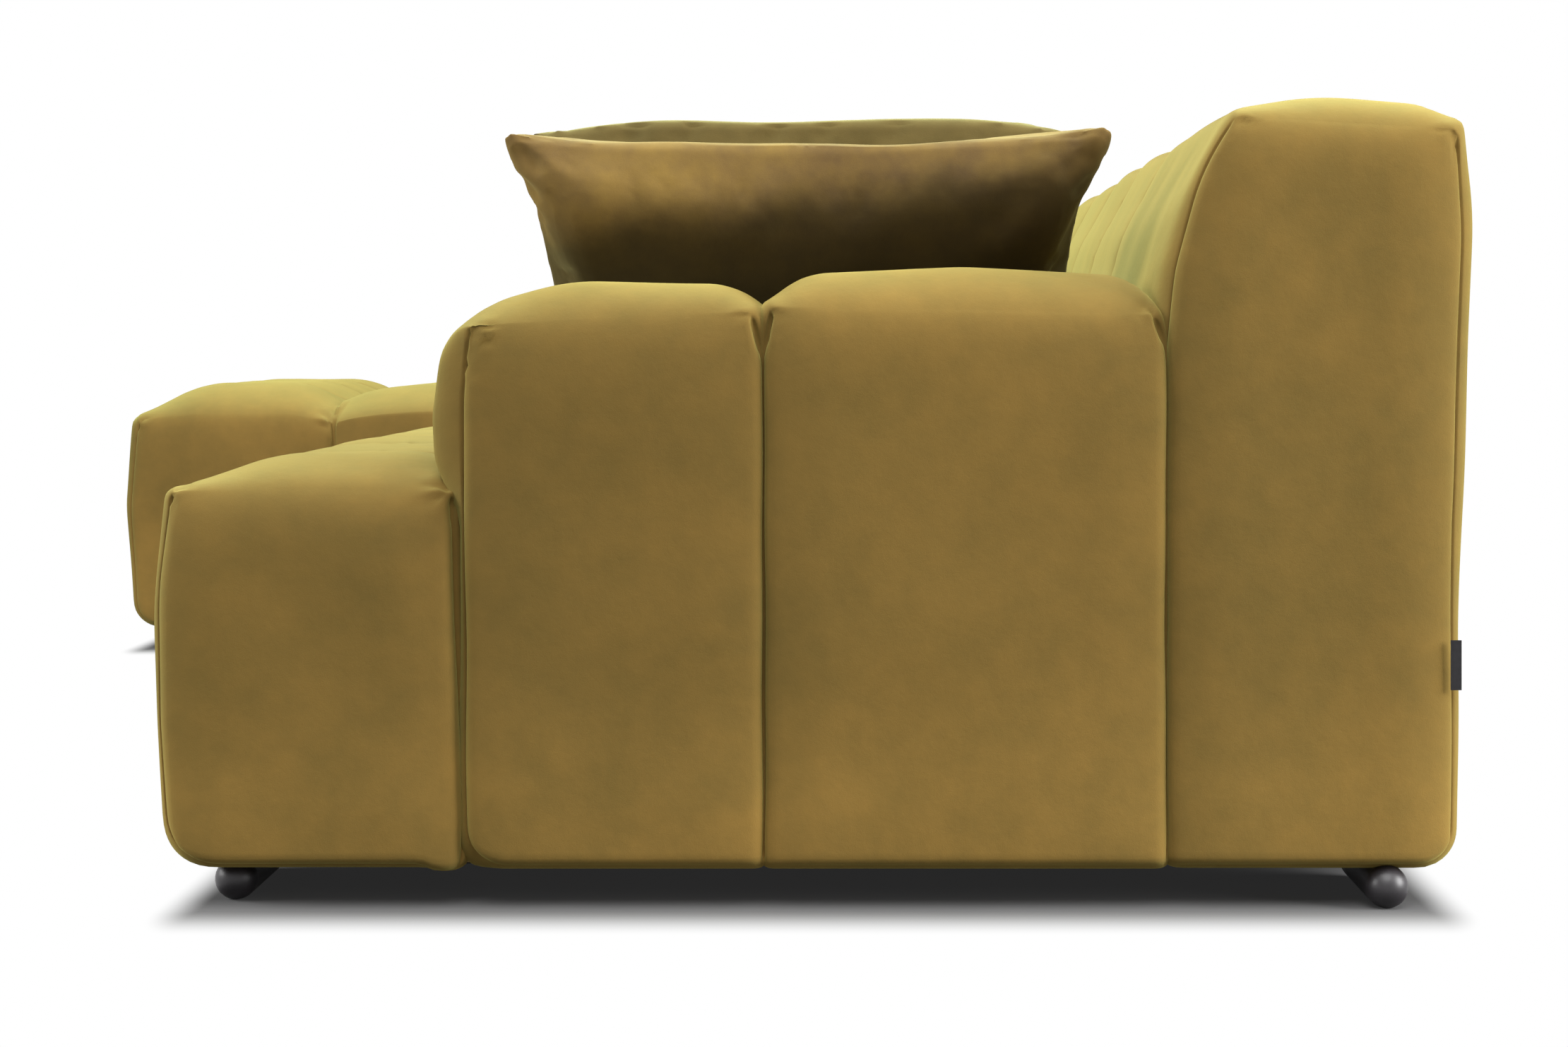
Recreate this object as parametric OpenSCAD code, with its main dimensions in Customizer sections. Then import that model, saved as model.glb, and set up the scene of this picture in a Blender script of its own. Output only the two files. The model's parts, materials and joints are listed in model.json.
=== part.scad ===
/* [Plan] */
// Width of one sewn channel of the seat
seat_channel = 230; // [180:1:260]
// Channels of the seat between the armrest and the chaise
sofa_channels = 9; // [6:1:12]
// Channels across the chaise
chaise_channels = 4; // [3:1:5]
// Thickness of the armrest
arm_width = 220; // [180:1:280]
// Depth of the sofa beside the chaise
sofa_depth = 1212; // [1150:1:1300]
// Depth of the chaise with the back behind it
chaise_depth = 1820; // [1700:1:1950]
// Depth of the front roll of the sofa
roll_depth = 283; // [250:1:320]
// Depth of the front roll of the chaise
chaise_roll_depth = 357; // [300:1:420]
// Width of the armrest's front roll
arm_front_width = 277; // [240:1:320]
// Depth of the back at its foot
back_depth = 279; // [250:1:320]
// Wider first channel of the back, beside the armrest
back_first = 265; // [200:1:320]
// Channels of the sofa's back after the first one
back_channels = 5; // [4:1:6]
// Channels of the back behind the chaise
chaise_back_channels = 3; // [2:1:4]

/* [Heights] */
// Height of the sofa's seat
seat_height = 421; // [400:1:450]
// Height of the chaise
chaise_height = 455; // [430:1:480]
// Height of the armrest's front roll
arm_front_height = 581; // [560:1:640]
// Height of the armrest's rear roll
arm_rear_height = 588; // [560:1:640]
// Height of the back
back_height = 748; // [720:1:800]

/* [Feet] */
// Diameter of the lying cylinder feet
foot_diameter = 40; // [36:1:50]
// Length of a foot with its domed ends
foot_length = 180; // [140:1:240]
// Depth of the flat that a foot stands on
foot_flat = 0.5; // [0.3:0.1:1]
// Depth of the flat that carries the frame
foot_seat = 0.5; // [0.3:0.1:1]
// Distance of a front foot's centre from the front face
foot_front = 62; // [60:1:66]
// Distance of a rear foot's centre from the rear face
foot_rear = 75; // [70:1:78]
// Distance of the near front foot from the end of the sofa
foot_set_back = 43; // [34:1:90]
// Diameter of the bolts of the feet
foot_bolt = 8; // [6:1:10]

/* [Upholstery] */
// Thickness of the quilted cover over frame and foam
cover_wall = 30; // [24:1:36]
// Depth of the seams between the seat's channels
seat_seam = 9; // [5:1:14]
// Depth of the seams between the back's channels
back_seam = 12; // [6:1:16]
// How far a band swells past the seams of an end panel
edge_swell = 9; // [5:1:12]
// How far the armrest's front roll swells past the seams of its end panel
arm_swell = 22; // [10:1:26]
// How far the top edge of an end panel is rounded down
edge_drop = 34; // [24:1:40]
// Length over which an end panel rounds into the top
edge_run = 62; // [40:1:80]
// Swell of an end panel in its middle
panel_dome = 6; // [3:1:9]
// Depth of the valleys between the rows of the seat
row_valley = 36; // [24:1:44]
// Rows of the sofa's seat behind the front roll
seat_rows = 2; // [1:1:3]
// Rows of the chaise behind its front roll
chaise_rows = 3; // [2:1:4]
// Space between two neighbouring covers
cover_gap = 0.3; // [0.2:0.1:0.5]

/* [Frame] */
// Thickness of the base rails
rail_thickness = 30; // [25:1:32]
// Height of the base rails
rail_height = 80; // [70:1:90]
// Distance of the front rails from the front face
rail_front = 50; // [48:1:54]
// Distance of the rear rails from the rear face
rail_rear = 60; // [58:1:62]
// Thickness of the plywood
ply = 18; // [15:1:21]
// Thickness of the hardboard behind the back
board = 4; // [3:0.5:5]
// Thickness of the dust covers
dust = 1; // [0.5:0.1:1.5]
// Thickness of the webbing
web = 2; // [1.5:0.1:3]
// Width of a webbing band
web_width = 60; // [50:1:70]
// Length of a corner block's two glued sides
corner_block = 70; // [50:1:90]
// Clearance between pieces that lie in each other
fit = 0.3; // [0.2:0.1:0.5]

/* [Fasteners] */
// Diameter of the frame screws
screw = 5; // [4:0.5:6]
// Length of the frame screws
screw_length = 70; // [60:1:80]
// Diameter of the screw heads
screw_head = 10; // [8:0.5:12]
// Height of the screw heads
screw_head_height = 4; // [3:0.5:5]
// Diameter of the connector screws
plate_screw = 4; // [3:0.5:5]
// Thickness of the connector plates
plate = 4; // [3:0.5:5]
// Width of the connector plates
plate_width = 60; // [50:1:80]
// Height of the connector plates
plate_height = 64; // [56:1:72]

/* [Cushions] */
// Width of a cushion over its corners
cushion_width = 590; // [560:1:610]
// Height of the near cushion over its corners
near_height = 392; // [380:1:400]
// Height of the far cushion over its corners
far_height = 400; // [380:1:420]
// Thickness of a cushion in its middle
cushion_thickness = 146; // [130:1:146]
// How far the short sides of a cushion are drawn in
side_draw = 38; // [20:1:50]
// How far the long sides of a cushion are drawn in
long_draw = 11; // [5:1:20]
// Thickness of a cushion at its sewn edge
cushion_edge = 5; // [3:1:8]
// Lean of the near cushion from upright, in degrees
near_lean = 38; // [37:0.5:40]
// Lean of the far cushion from upright, in degrees
far_lean = 36; // [34:0.5:38]
// Distance of the near cushion's foot from the armrest
near_reach = 189; // [189:1:200]
// Distance between the feet of the two cushions
far_reach = 171; // [171:1:176]
// Height of the near cushion's foot over the seat
near_rise = 4; // [4:0.5:6]
// Height of the far cushion's foot over the seat
far_rise = 5; // [5:0.5:12]
// Shift of the far cushion towards the front
far_shift = 12; // [0:1:16]
// Fabric and wadding around a cushion's filling
cushion_wall = 12; // [8:1:16]

/* [Tag] */
// Width of the side tag that stands out of the seam
tag_width = 10; // [8:1:12]
// Height of the side tag
tag_height = 46; // [40:1:52]
// Thickness of the side tag
tag_thickness = 1; // [0.6:0.1:1.4]
// Height of the side tag's lower edge over the floor
tag_level = 203; // [180:1:260]

/* [Hidden] */
// Overrun of every cut past the face it opens
over = foot_diameter / 20;

// Places along the length, from the far side of the chaise to the end of the armrest
sofa_length = arm_width + sofa_channels * seat_channel;
chaise_width = chaise_channels * seat_channel;
total_length = sofa_length + chaise_width;
x_near = total_length / 2;
x_far = -x_near;
x_arm = x_near - arm_width;
x_split = x_near - sofa_length;
// Places across the depth, from the front of the chaise to the rear face
y_back = chaise_depth / 2;
y_front = -y_back;
y_sofa = y_back - sofa_depth;
y_roll = y_sofa + roll_depth;
y_chaise_roll = y_front + chaise_roll_depth;
y_arm = y_roll + arm_front_width;
y_seat_back = y_back - back_depth;
// The seats end a little before the back, whose channels swell forward
back_swell = edge_swell + cover_gap;
y_seat_end = y_seat_back - back_swell - cover_gap;
// Levels
foot_height = foot_diameter - foot_flat - foot_seat;
z_skirt = foot_height + dust;
z_rail = z_skirt + rail_height;
z_web = z_rail + web;

// Outlines across the depth: shares of depth and height, radius as a share of the height, steps
roll_outline_shares = [
  [1, 0, 0.02, 1], [0.985, 0.91, 0.1, 2], [0.76, 1, 0.45, 2], [0.26, 1, 0.45, 2],
  [0.022, 0.95, 0.12, 3], [0, 0.55, 0.6, 1], [0.04, 0, 0.09, 2]
];
chaise_roll_outline_shares = [
  [1, 0, 0.02, 1], [0.985, 0.9, 0.1, 2], [0.78, 1, 0.4, 2], [0.3, 1, 0.4, 2],
  [0.03, 0.86, 0.12, 3], [0, 0.5, 0.6, 1], [0.07, 0, 0.1, 2]
];
arm_front_outline_shares = [
  [1, 0, 0.01, 1], [0.995, 0.93, 0.03, 2], [0.86, 1, 0.14, 3], [0.4, 1, 0.5, 1],
  [0.03, 0.93, 0.2, 4], [0, 0.74, 0.1, 2], [0.08, 0.6, 0.1, 1], [0.075, 0, 0.06, 3]
];
arm_rear_outline_shares = [
  [1, 0, 0.01, 1], [0.985, 0.92, 0.04, 2], [0.9, 0.995, 0.12, 3], [0.5, 1, 0.6, 1],
  [0.11, 0.99, 0.14, 3], [0.005, 0.92, 0.03, 2], [0, 0, 0.01, 1]
];
back_outline_shares = [
  [0.95, 0, 0.04, 2], [1, 0.85, 0.8, 1], [0.985, 0.99, 0.05, 3], [0.55, 1, 0.8, 1],
  [0.2, 0.985, 0.11, 3], [0.082, 0.86, 0.25, 1], [0.034, 0.7, 0.3, 1], [0.034, 0, 0.02, 1]
];
// Where a row's top is drawn between its two valleys
row_shares = [0.04, 0.16, 0.38, 0.62, 0.84, 0.96];
// Cross sections along the rounded end of a form, as shares of the rounding's length
end_shares = [0, 0.12, 0.42, 1];
// Cross sections from the middle of a channel over the seam after it, as shares of the channel
seam_shares = [-0.5, -0.12, 0, 0.12];
// Inside of the back, as shares of its depth and height over the skirt
core_shares = [[0.12, 0.65], [0.2, 0.83], [0.27, 0.925], [0.86, 0.925]];
// Parts of the top of a form that its seams draw in, from the front, as a share of the depth
back_seam_share = 0.8;
full_share = 1.1;
// Height of the back up to which the armrest covers the seam of its end panel
arm_seam_share = 0.7;

function unit(v) = v / norm(v);

// One rounded corner of an outline, as points on its arc
function corner(before, at, after, radius, steps) =
  let (
    a = unit(before - at),
    b = unit(after - at),
    half = acos(a * b) / 2,
    centre = at + unit(a + b) * radius / sin(half),
    from = at + a * radius / tan(half) - centre,
    to = at + b * radius / tan(half) - centre,
    start = atan2(from.y, from.x),
    turn = atan2(from.x * to.y - from.y * to.x, from * to)
  )
  [for (k = [0:steps]) centre + radius * [cos(start + turn * k / steps), sin(start + turn * k / steps)]];

// A whole outline from its table of shares
function outline(shares, depth, height) =
  let (
    n = len(shares),
    p = [for (s = shares) [s[0] * depth, s[1] * height]]
  )
  [for (i = [0:n - 1])
    each corner(p[(i + n - 1) % n], p[i], p[(i + 1) % n], shares[i][2] * height, shares[i][3])];

// A seat's outline: flat below, rows of crowned rolls on top
function rows_outline(depth, height, rows, valley) = concat(
  [[0, 0], [depth, 0], [depth, height - 2 * valley]],
  [for (r = [rows - 1:-1:0]) each [
    for (k = [len(row_shares) - 1:-1:0])
      let (v = row_shares[k])
      [(r + v) * depth / rows, height - valley * (1 - sqrt(4 * v * (1 - v)))]
  ]],
  [[0, height - 2 * valley]]
);

// Depth of a rounding at a share of its length, 1 at the edge and 0 at its end
function dip(share) = 1 - sqrt(1 - pow(1 - share, 2));

// Cross sections of a form: place, side swell held back, top drop, seam depth
function stations(x0, x1, end0, end1, seams, pitch, seam) = concat(
  [for (t = end_shares) [x0 + end0.z * t, end0.x * dip(t), end0.y * dip(t), 0]],
  [for (s = seams) each [for (t = seam_shares) [s + t * pitch, 0, 0, seam * dip(2 * abs(t))]]],
  [for (s = seams) if (s == max(seams)) [s - seam_shares[0] * pitch, 0, 0, 0]],
  [for (k = [len(end_shares) - 1:-1:0])
    let (t = end_shares[k]) [x1 - end1.z * t, end1.x * dip(t), end1.y * dip(t), 0]]
);

// One cross section: the outline drawn in along its normals. Seams end at reach, and the
// panel's edges stay straight below the two heights in hold, one for the front, one for the rear
function section(points, station, reach, hold) =
  let (n = len(points))
  [for (i = [0:n - 1])
    let (
      p = points[i],
      t = unit(points[(i + 1) % n] - points[(i + n - 1) % n]),
      seam = p.x < reach ? station[3] : 0,
      swell = p.y < (t.y > 0 ? hold[1] : hold[0]) ? 0 : station[1]
    )
    [station[0], p.x - t.y * (swell + seam), p.y - max(-t.x, 0) * (station[2] + seam)]];

function middle(points) =
  [for (k = [0:2]) (min([for (p = points) p[k]]) + max([for (p = points) p[k]])) / 2];

// A closed skin through the cross sections, with domed end panels
module form(points, sections, reach, hold, dome0, dome1) {
  n = len(points);
  last = len(sections) - 1;
  rings = [for (s = sections) section(points, s, reach, hold)];
  ends = [middle(rings[0]) - [dome0, 0, 0], middle(rings[last]) + [dome1, 0, 0]];
  sides = [for (k = [0:last - 1]) each [for (i = [0:n - 1])
    let (a = k * n + i, b = k * n + (i + 1) % n) each [[a, a + n, b + n], [a, b + n, b]]]];
  caps = [for (i = [0:n - 1])
    let (j = (i + 1) % n, base = (last + 1) * n)
    each [[base, i, j], [base + 1, last * n + j, last * n + i]]];
  polyhedron(points = concat([for (r = rings) each r], ends), faces = concat(sides, caps));
}

// A box from its lowest corner to its highest
module block(low, high) {
  translate(low) cube(high - low);
}

// A flat outline across the depth, drawn out along the length
module prism(points, x0, x1) {
  translate([x0, 0, 0]) rotate([90, 0, 90]) linear_extrude(x1 - x0) polygon(points);
}

// Ends of the forms: swell held back, top drop, length of the rounding
panel_end = [edge_swell, edge_drop, edge_run];
joint_end = [edge_swell / 2, edge_drop / 2, edge_run / 2];
back_joint_end = [edge_swell, back_seam, edge_run];

// Upholstered covers

module front_roll_cover() {
  seams = [for (k = [sofa_channels - 1:-1:0]) x_arm - k * seat_channel];
  color("#a5893f") difference() {
    translate([0, y_sofa, z_skirt])
      form(
        outline(roll_outline_shares, roll_depth - cover_gap, seat_height - z_skirt),
        stations(
          x_split + cover_gap, x_near - panel_dome, joint_end, panel_end, seams, seat_channel, seat_seam
        ),
        full_share * roll_depth, [0, seat_height], 0, panel_dome
      );
    block(
      [x_split - over, y_sofa + rail_front, z_skirt - over],
      [x_near - cover_wall, y_roll + over, z_web]
    );
    block(
      [x_split + cover_wall, y_sofa + cover_wall, z_rail],
      [x_near - cover_wall, y_roll - cover_wall, seat_height - cover_wall - row_valley]
    );
  }
}

module seat_cover() {
  seams = [for (k = [sofa_channels - 1:-1:1]) x_arm - k * seat_channel];
  depth = y_seat_end - y_roll - cover_gap;
  color("#a5893f") difference() {
    translate([0, y_roll + cover_gap, z_web])
      form(
        rows_outline(depth, seat_height - z_web, seat_rows, row_valley),
        stations(
          x_split + cover_gap, x_arm - cover_gap, joint_end, joint_end, seams, seat_channel, seat_seam
        ),
        full_share * depth, [seat_height, seat_height], 0, 0
      );
    block(
      [x_split + cover_wall, y_roll + cover_wall, z_web - over],
      [x_arm - cover_wall, y_seat_end - cover_wall, seat_height - cover_wall - row_valley]
    );
  }
}

// An armrest roll lies between two places across the depth, and swells forward above hold
module arm_cover(shares, y0, y1, inset, height, open0, hold) {
  arm_end = [arm_swell, edge_drop, edge_run];
  difference() {
    translate([0, y0, z_skirt])
      form(
        outline(shares, y1 - y0 - cover_gap, height - z_skirt),
        stations(x_arm + panel_dome, x_near - panel_dome, arm_end, arm_end, [], seat_channel, 0),
        full_share * (y1 - y0), [hold, height], panel_dome, panel_dome
      );
    block([x_arm - over, open0, z_skirt - over], [x_near - cover_wall, y1 + over, z_web]);
    block(
      [x_arm + cover_wall, y0 + inset, z_rail],
      [x_near - cover_wall, y1 - cover_wall, height - edge_drop - cover_wall / 2]
    );
  }
}

// The front roll of the armrest swells forward over the seat's front roll
arm_inset = arm_swell + cover_wall;

module arm_front_cover() {
  color("#9d8239")
    arm_cover(
      arm_front_outline_shares, y_roll - arm_swell, y_arm, arm_inset, arm_front_height,
      y_roll - arm_swell, seat_height - z_skirt
    );
}

module arm_rear_cover() {
  color("#9d8239")
    arm_cover(
      arm_rear_outline_shares, y_arm, y_seat_back, cover_wall, arm_rear_height, y_arm - over,
      arm_rear_height
    );
}

// The inside of the back, from the rails up
core_front = [for (k = [0:2]) [
  y_seat_back + core_shares[k][0] * back_depth, z_skirt + core_shares[k][1] * (back_height - z_skirt)
]];
core_rear = y_seat_back + core_shares[3][0] * back_depth;
core_top = core_front[2].y;
core_points = concat(
  [[core_front[0].x, z_rail]], core_front, [[core_rear, core_top], [core_rear, z_rail]]
);

module back_form(x0, x1, end0, end1, seams, pitch, dome0, dome1) {
  difference() {
    translate([0, y_seat_back - back_swell, z_skirt])
      form(
        outline(back_outline_shares, back_depth + back_swell, back_height - z_skirt),
        stations(x0, x1, end0, end1, seams, pitch, back_seam),
        back_seam_share * back_depth, [arm_seam_share * (back_height - z_skirt), 0], dome0, dome1
      );
    children();
  }
}

back_pitch = (x_arm - back_first - x_split) / back_channels;

module back_cover() {
  seams = [for (k = [back_channels - 1:-1:0]) x_arm - back_first - k * back_pitch];
  color("#9d8239")
    back_form(
      x_split + cover_gap, x_near - panel_dome, back_joint_end, panel_end, seams, back_pitch, 0, panel_dome
    ) {
      block(
        [x_split - over, y_seat_back - back_swell - over, z_skirt - over],
        [x_near - cover_wall, y_back - rail_rear, z_web]
      );
      prism(core_points, x_split + cover_wall, x_near - cover_wall);
    }
}

chaise_back_pitch = chaise_width / chaise_back_channels;

module chaise_back_cover() {
  seams = [for (k = [1:chaise_back_channels - 1]) x_far + k * chaise_back_pitch];
  color("#9d8239")
    back_form(
      x_far + panel_dome, x_split - cover_gap, panel_end, back_joint_end, seams, chaise_back_pitch,
      panel_dome, 0
    ) {
      block(
        [x_far + cover_wall, y_seat_back - back_swell - over, z_skirt - over],
        [x_split - cover_wall, y_back - rail_rear, z_web]
      );
      prism(core_points, x_far + cover_wall, x_split - cover_wall);
    }
}

chaise_seams = [for (k = [1:chaise_channels - 1]) x_far + k * seat_channel];

function chaise_stations() =
  stations(
    x_far + panel_dome, x_split - panel_dome, panel_end, panel_end, chaise_seams, seat_channel, seat_seam
  );

module chaise_front_cover() {
  color("#a5893f") difference() {
    translate([0, y_front, z_skirt])
      form(
        outline(chaise_roll_outline_shares, chaise_roll_depth - cover_gap, chaise_height - z_skirt),
        chaise_stations(),
        full_share * chaise_roll_depth, [0, chaise_height], panel_dome, panel_dome - cover_gap
      );
    block(
      [x_far + cover_wall, y_front + rail_front, z_skirt - over],
      [x_split - cover_wall, y_chaise_roll + over, z_web]
    );
    block(
      [x_far + cover_wall, y_front + cover_wall, z_rail],
      [x_split - cover_wall, y_chaise_roll - cover_wall, chaise_height - cover_wall - edge_drop]
    );
  }
}

module chaise_seat_cover() {
  depth = y_seat_end - y_chaise_roll - cover_gap;
  color("#a5893f") difference() {
    translate([0, y_chaise_roll + cover_gap, z_skirt])
      form(
        rows_outline(depth, chaise_height - z_skirt, chaise_rows, row_valley),
        chaise_stations(),
        full_share * depth, [chaise_height, chaise_height], panel_dome, panel_dome - cover_gap
      );
    block(
      [x_far + cover_wall, y_chaise_roll - over, z_skirt - over],
      [x_split - cover_wall, y_seat_end + over, z_web]
    );
    block(
      [x_far + cover_wall, y_chaise_roll + cover_wall, z_rail],
      [x_split - cover_wall, y_seat_end - cover_wall, chaise_height - cover_wall - edge_drop]
    );
    for (y = connector_places)
      block(
        [x_split - cover_wall - over, y - plate_width / 2 - over, z_skirt + over],
        [x_split + over, y + plate_width / 2 + over, z_rail - over]
      );
  }
}

// Foam cores, each a little smaller than the space in its cover

module core(low, high) {
  color("#e6dfbe") block(low + [fit, fit, 0], high - [fit, fit, fit]);
}

module front_roll_foam() {
  core(
    [x_split + cover_wall, y_sofa + cover_wall, z_web],
    [x_near - cover_wall, y_roll - cover_wall, seat_height - cover_wall - row_valley]
  );
}

module seat_foam() {
  core(
    [x_split + cover_wall, y_roll + cover_wall, z_web],
    [x_arm - cover_wall, y_seat_end - cover_wall, seat_height - cover_wall - row_valley]
  );
}

// Spaces inside the armrest: front, rear and top of each
arm_spaces = [
  [y_roll + cover_wall, y_arm - cover_wall, arm_front_height - edge_drop - cover_wall / 2],
  [y_arm + cover_wall, y_seat_back - cover_wall, arm_rear_height - edge_drop - cover_wall / 2]
];
arm_pad = 2 * ply;

module arm_foam() {
  for (s = arm_spaces)
    core([x_arm + cover_wall, s[0], s[2] - arm_pad], [x_near - cover_wall, s[1], s[2]]);
}

// Foam in front of and over the back's posts
back_pad = 2 * cover_wall;
post_top = core_top - back_pad - ply;
back_foam_points = concat(
  [[core_front[0].x + fit, z_rail + fit]],
  [for (p = core_front) p + [fit, -fit]],
  [
    [core_rear - fit, core_top - fit], [core_rear - fit, post_top + ply + fit],
    [core_front[1].x + back_pad, post_top + ply + fit],
    [core_front[0].x + back_pad, core_front[0].y], [core_front[0].x + back_pad, z_rail + fit]
  ]
);

module back_foam() {
  color("#e6dfbe") prism(back_foam_points, x_split + cover_wall + fit, x_near - cover_wall - fit);
}

module chaise_front_foam() {
  core(
    [x_far + cover_wall, y_front + cover_wall, z_web],
    [x_split - cover_wall, y_chaise_roll - cover_wall, chaise_height - cover_wall - edge_drop]
  );
}

module chaise_seat_foam() {
  core(
    [x_far + cover_wall, y_chaise_roll + cover_wall, z_web],
    [x_split - cover_wall, y_seat_end - cover_wall, chaise_height - cover_wall - edge_drop]
  );
}

module chaise_back_foam() {
  color("#e6dfbe") prism(back_foam_points, x_far + cover_wall + fit, x_split - cover_wall - fit);
}

// Base frames, which stand inside the hems of the covers

sofa_x0 = x_split + fit;
sofa_x1 = x_near - cover_wall - fit;
chaise_x0 = x_far + cover_wall + fit;
chaise_x1 = x_split - cover_wall - fit;
sofa_y0 = y_sofa + rail_front + fit;
chaise_y0 = y_front + rail_front + fit;
frame_y1 = y_back - rail_rear - fit;
arm_rail_x = x_arm + cover_wall + fit;
// Cross rails of the sofa: one at each end, one under the armrest's inner side, two between
seat_bays = 3;
sofa_cross_x = concat(
  [for (k = [0:seat_bays]) sofa_x0 + k * (arm_rail_x - sofa_x0) / seat_bays],
  [sofa_x1 - rail_thickness]
);
chaise_bays = 4;
chaise_cross_y = [for (k = [0:chaise_bays])
  chaise_y0 + k * (frame_y1 - rail_thickness - chaise_y0) / chaise_bays];

// Two screws one above the other in each rail joint
screw_shares = [0.5, 0.85];
screw_levels = [for (s = screw_shares) z_skirt + s * rail_height];
sofa_screws = [for (x = sofa_cross_x) for (z = screw_levels) [x + rail_thickness / 2, z]];
chaise_screws = [for (y = chaise_cross_y) for (z = screw_levels) [y + rail_thickness / 2, z]];

// A screw along +Y, with its head sunk flush in the face at the origin
module screw_shape(grow) {
  rotate([-90, 0, 0]) {
    cylinder(d = screw + grow, h = screw_length + grow, $fn = 24);
    translate([0, 0, -grow]) cylinder(d = screw_head + grow, h = screw_head_height + grow, $fn = 24);
  }
}

module all_frame_screws(grow) {
  for (s = sofa_screws) {
    translate([s.x, sofa_y0, s.y]) screw_shape(grow);
    translate([s.x, frame_y1, s.y]) mirror([0, 1, 0]) screw_shape(grow);
  }
  for (s = chaise_screws) {
    translate([chaise_x0, s.x, s.y]) rotate([0, 0, -90]) screw_shape(grow);
    translate([chaise_x1, s.x, s.y]) rotate([0, 0, 90]) screw_shape(grow);
  }
}

// Feet: near end of each foot, centre across the depth
sofa_foot_x = [x_near, (x_near + x_split) / 2, x_split + foot_length + foot_set_back];
foot_front_y = y_sofa + foot_front;
foot_rear_y = y_back - foot_rear;
chaise_foot_x = [x_split - foot_set_back, x_far + foot_length + foot_set_back];
foot_places = concat(
  [for (x = sofa_foot_x) [x == x_near ? x - foot_set_back : x, foot_front_y]],
  [for (x = sofa_foot_x) [x, foot_rear_y]],
  [for (x = chaise_foot_x) [x, y_front + foot_front]],
  [for (x = chaise_foot_x) [x, foot_rear_y]]
);
// Two bolts in each foot, a share of its length from both ends
bolt_shares = [0.3, 0.7];
bolt_places = [for (p = foot_places) for (s = bolt_shares) [p.x - s * foot_length, p.y]];
bolt_low = foot_diameter / 3;
bolt_high = screw_levels[0] - screw_head;

module bolt_bores() {
  for (p = bolt_places)
    translate([p.x, p.y, bolt_low]) cylinder(d = foot_bolt + fit, h = bolt_high + fit - bolt_low, $fn = 24);
}

module sofa_long_rails() {
  color("#c9a26b") difference() {
    union() {
      block([sofa_x0, sofa_y0, z_skirt], [sofa_x1, sofa_y0 + rail_thickness, z_rail]);
      block([sofa_x0, frame_y1 - rail_thickness, z_skirt], [sofa_x1, frame_y1, z_rail]);
    }
    all_frame_screws(fit);
    bolt_bores();
  }
}

module sofa_cross_rails() {
  color("#c9a26b") difference() {
    for (x = sofa_cross_x)
      block(
        [x, sofa_y0 + rail_thickness, z_skirt],
        [x + rail_thickness, frame_y1 - rail_thickness, z_rail]
      );
    all_frame_screws(fit);
    connector_bores();
  }
}

module chaise_side_rails() {
  color("#c9a26b") difference() {
    union() {
      block([chaise_x0, chaise_y0, z_skirt], [chaise_x0 + rail_thickness, frame_y1, z_rail]);
      block([chaise_x1 - rail_thickness, chaise_y0, z_skirt], [chaise_x1, frame_y1, z_rail]);
    }
    all_frame_screws(fit);
    connector_bores();
  }
}

module chaise_cross_rails() {
  color("#c9a26b") difference() {
    for (y = chaise_cross_y)
      block(
        [chaise_x0 + rail_thickness, y, z_skirt],
        [chaise_x1 - rail_thickness, y + rail_thickness, z_rail]
      );
    all_frame_screws(fit);
    bolt_bores();
  }
}

// Three-cornered blocks glued into the corners of a frame
module block_in_corner(at, turn) {
  translate([at.x, at.y, z_skirt]) rotate([0, 0, turn])
    linear_extrude(rail_height) polygon([[0, 0], [corner_block, 0], [0, corner_block]]);
}

module corner_blocks() {
  x0 = sofa_x0 + rail_thickness;
  x1 = sofa_x1 - rail_thickness;
  y1 = frame_y1 - rail_thickness;
  cx0 = chaise_x0 + rail_thickness;
  cx1 = chaise_x1 - rail_thickness;
  color("#b98f57") {
    block_in_corner([x0, sofa_y0 + rail_thickness], 0);
    block_in_corner([x1, sofa_y0 + rail_thickness], 90);
    block_in_corner([x1, y1], 180);
    block_in_corner([x0, y1], 270);
    block_in_corner([cx0, chaise_y0 + rail_thickness], 0);
    block_in_corner([cx1, chaise_y0 + rail_thickness], 90);
    block_in_corner([cx1, y1], 180);
    block_in_corner([cx0, y1], 270);
  }
}

// Webbing: bands that lie across the rails
sofa_bands = 8;
sofa_band_y = [for (k = [0:sofa_bands - 1])
  sofa_y0 + rail_thickness + k * (y_seat_end - web_width - sofa_y0 - rail_thickness) / (sofa_bands - 1)];
chaise_bands = 8;
chaise_band_x = [for (k = [0:chaise_bands - 1])
  chaise_x0 + k * (chaise_x1 - web_width - chaise_x0) / (chaise_bands - 1)];

module seat_webbing() {
  color("#2c2c2c")
    for (y = sofa_band_y)
      block([sofa_x0, y, z_rail], [x_arm - cover_gap, y + web_width, z_web]);
}

module chaise_webbing() {
  color("#2c2c2c")
    for (x = chaise_band_x)
      block([x, chaise_y0, z_rail], [x + web_width, y_seat_end, z_web]);
}

// Plywood boxes in the armrest, on the rails at its two sides
module arm_boxes() {
  color("#d8b98a")
    for (s = arm_spaces) {
      low = [x_arm + cover_wall + fit, s[0] + fit, z_rail];
      high = [sofa_x1, s[1] - fit, s[2] - arm_pad];
      difference() {
        block(low, high);
        block(low + [ply, ply, -over], high - [ply, ply, ply]);
      }
    }
}

// Posts of the back, which stand on the rails
post_points = [
  [core_front[0].x + back_pad + fit, z_rail], [core_rear - board - fit, z_rail],
  [core_rear - board - fit, post_top], [core_front[1].x + back_pad + fit, post_top],
  [core_front[0].x + back_pad + fit, core_front[0].y]
];

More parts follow.
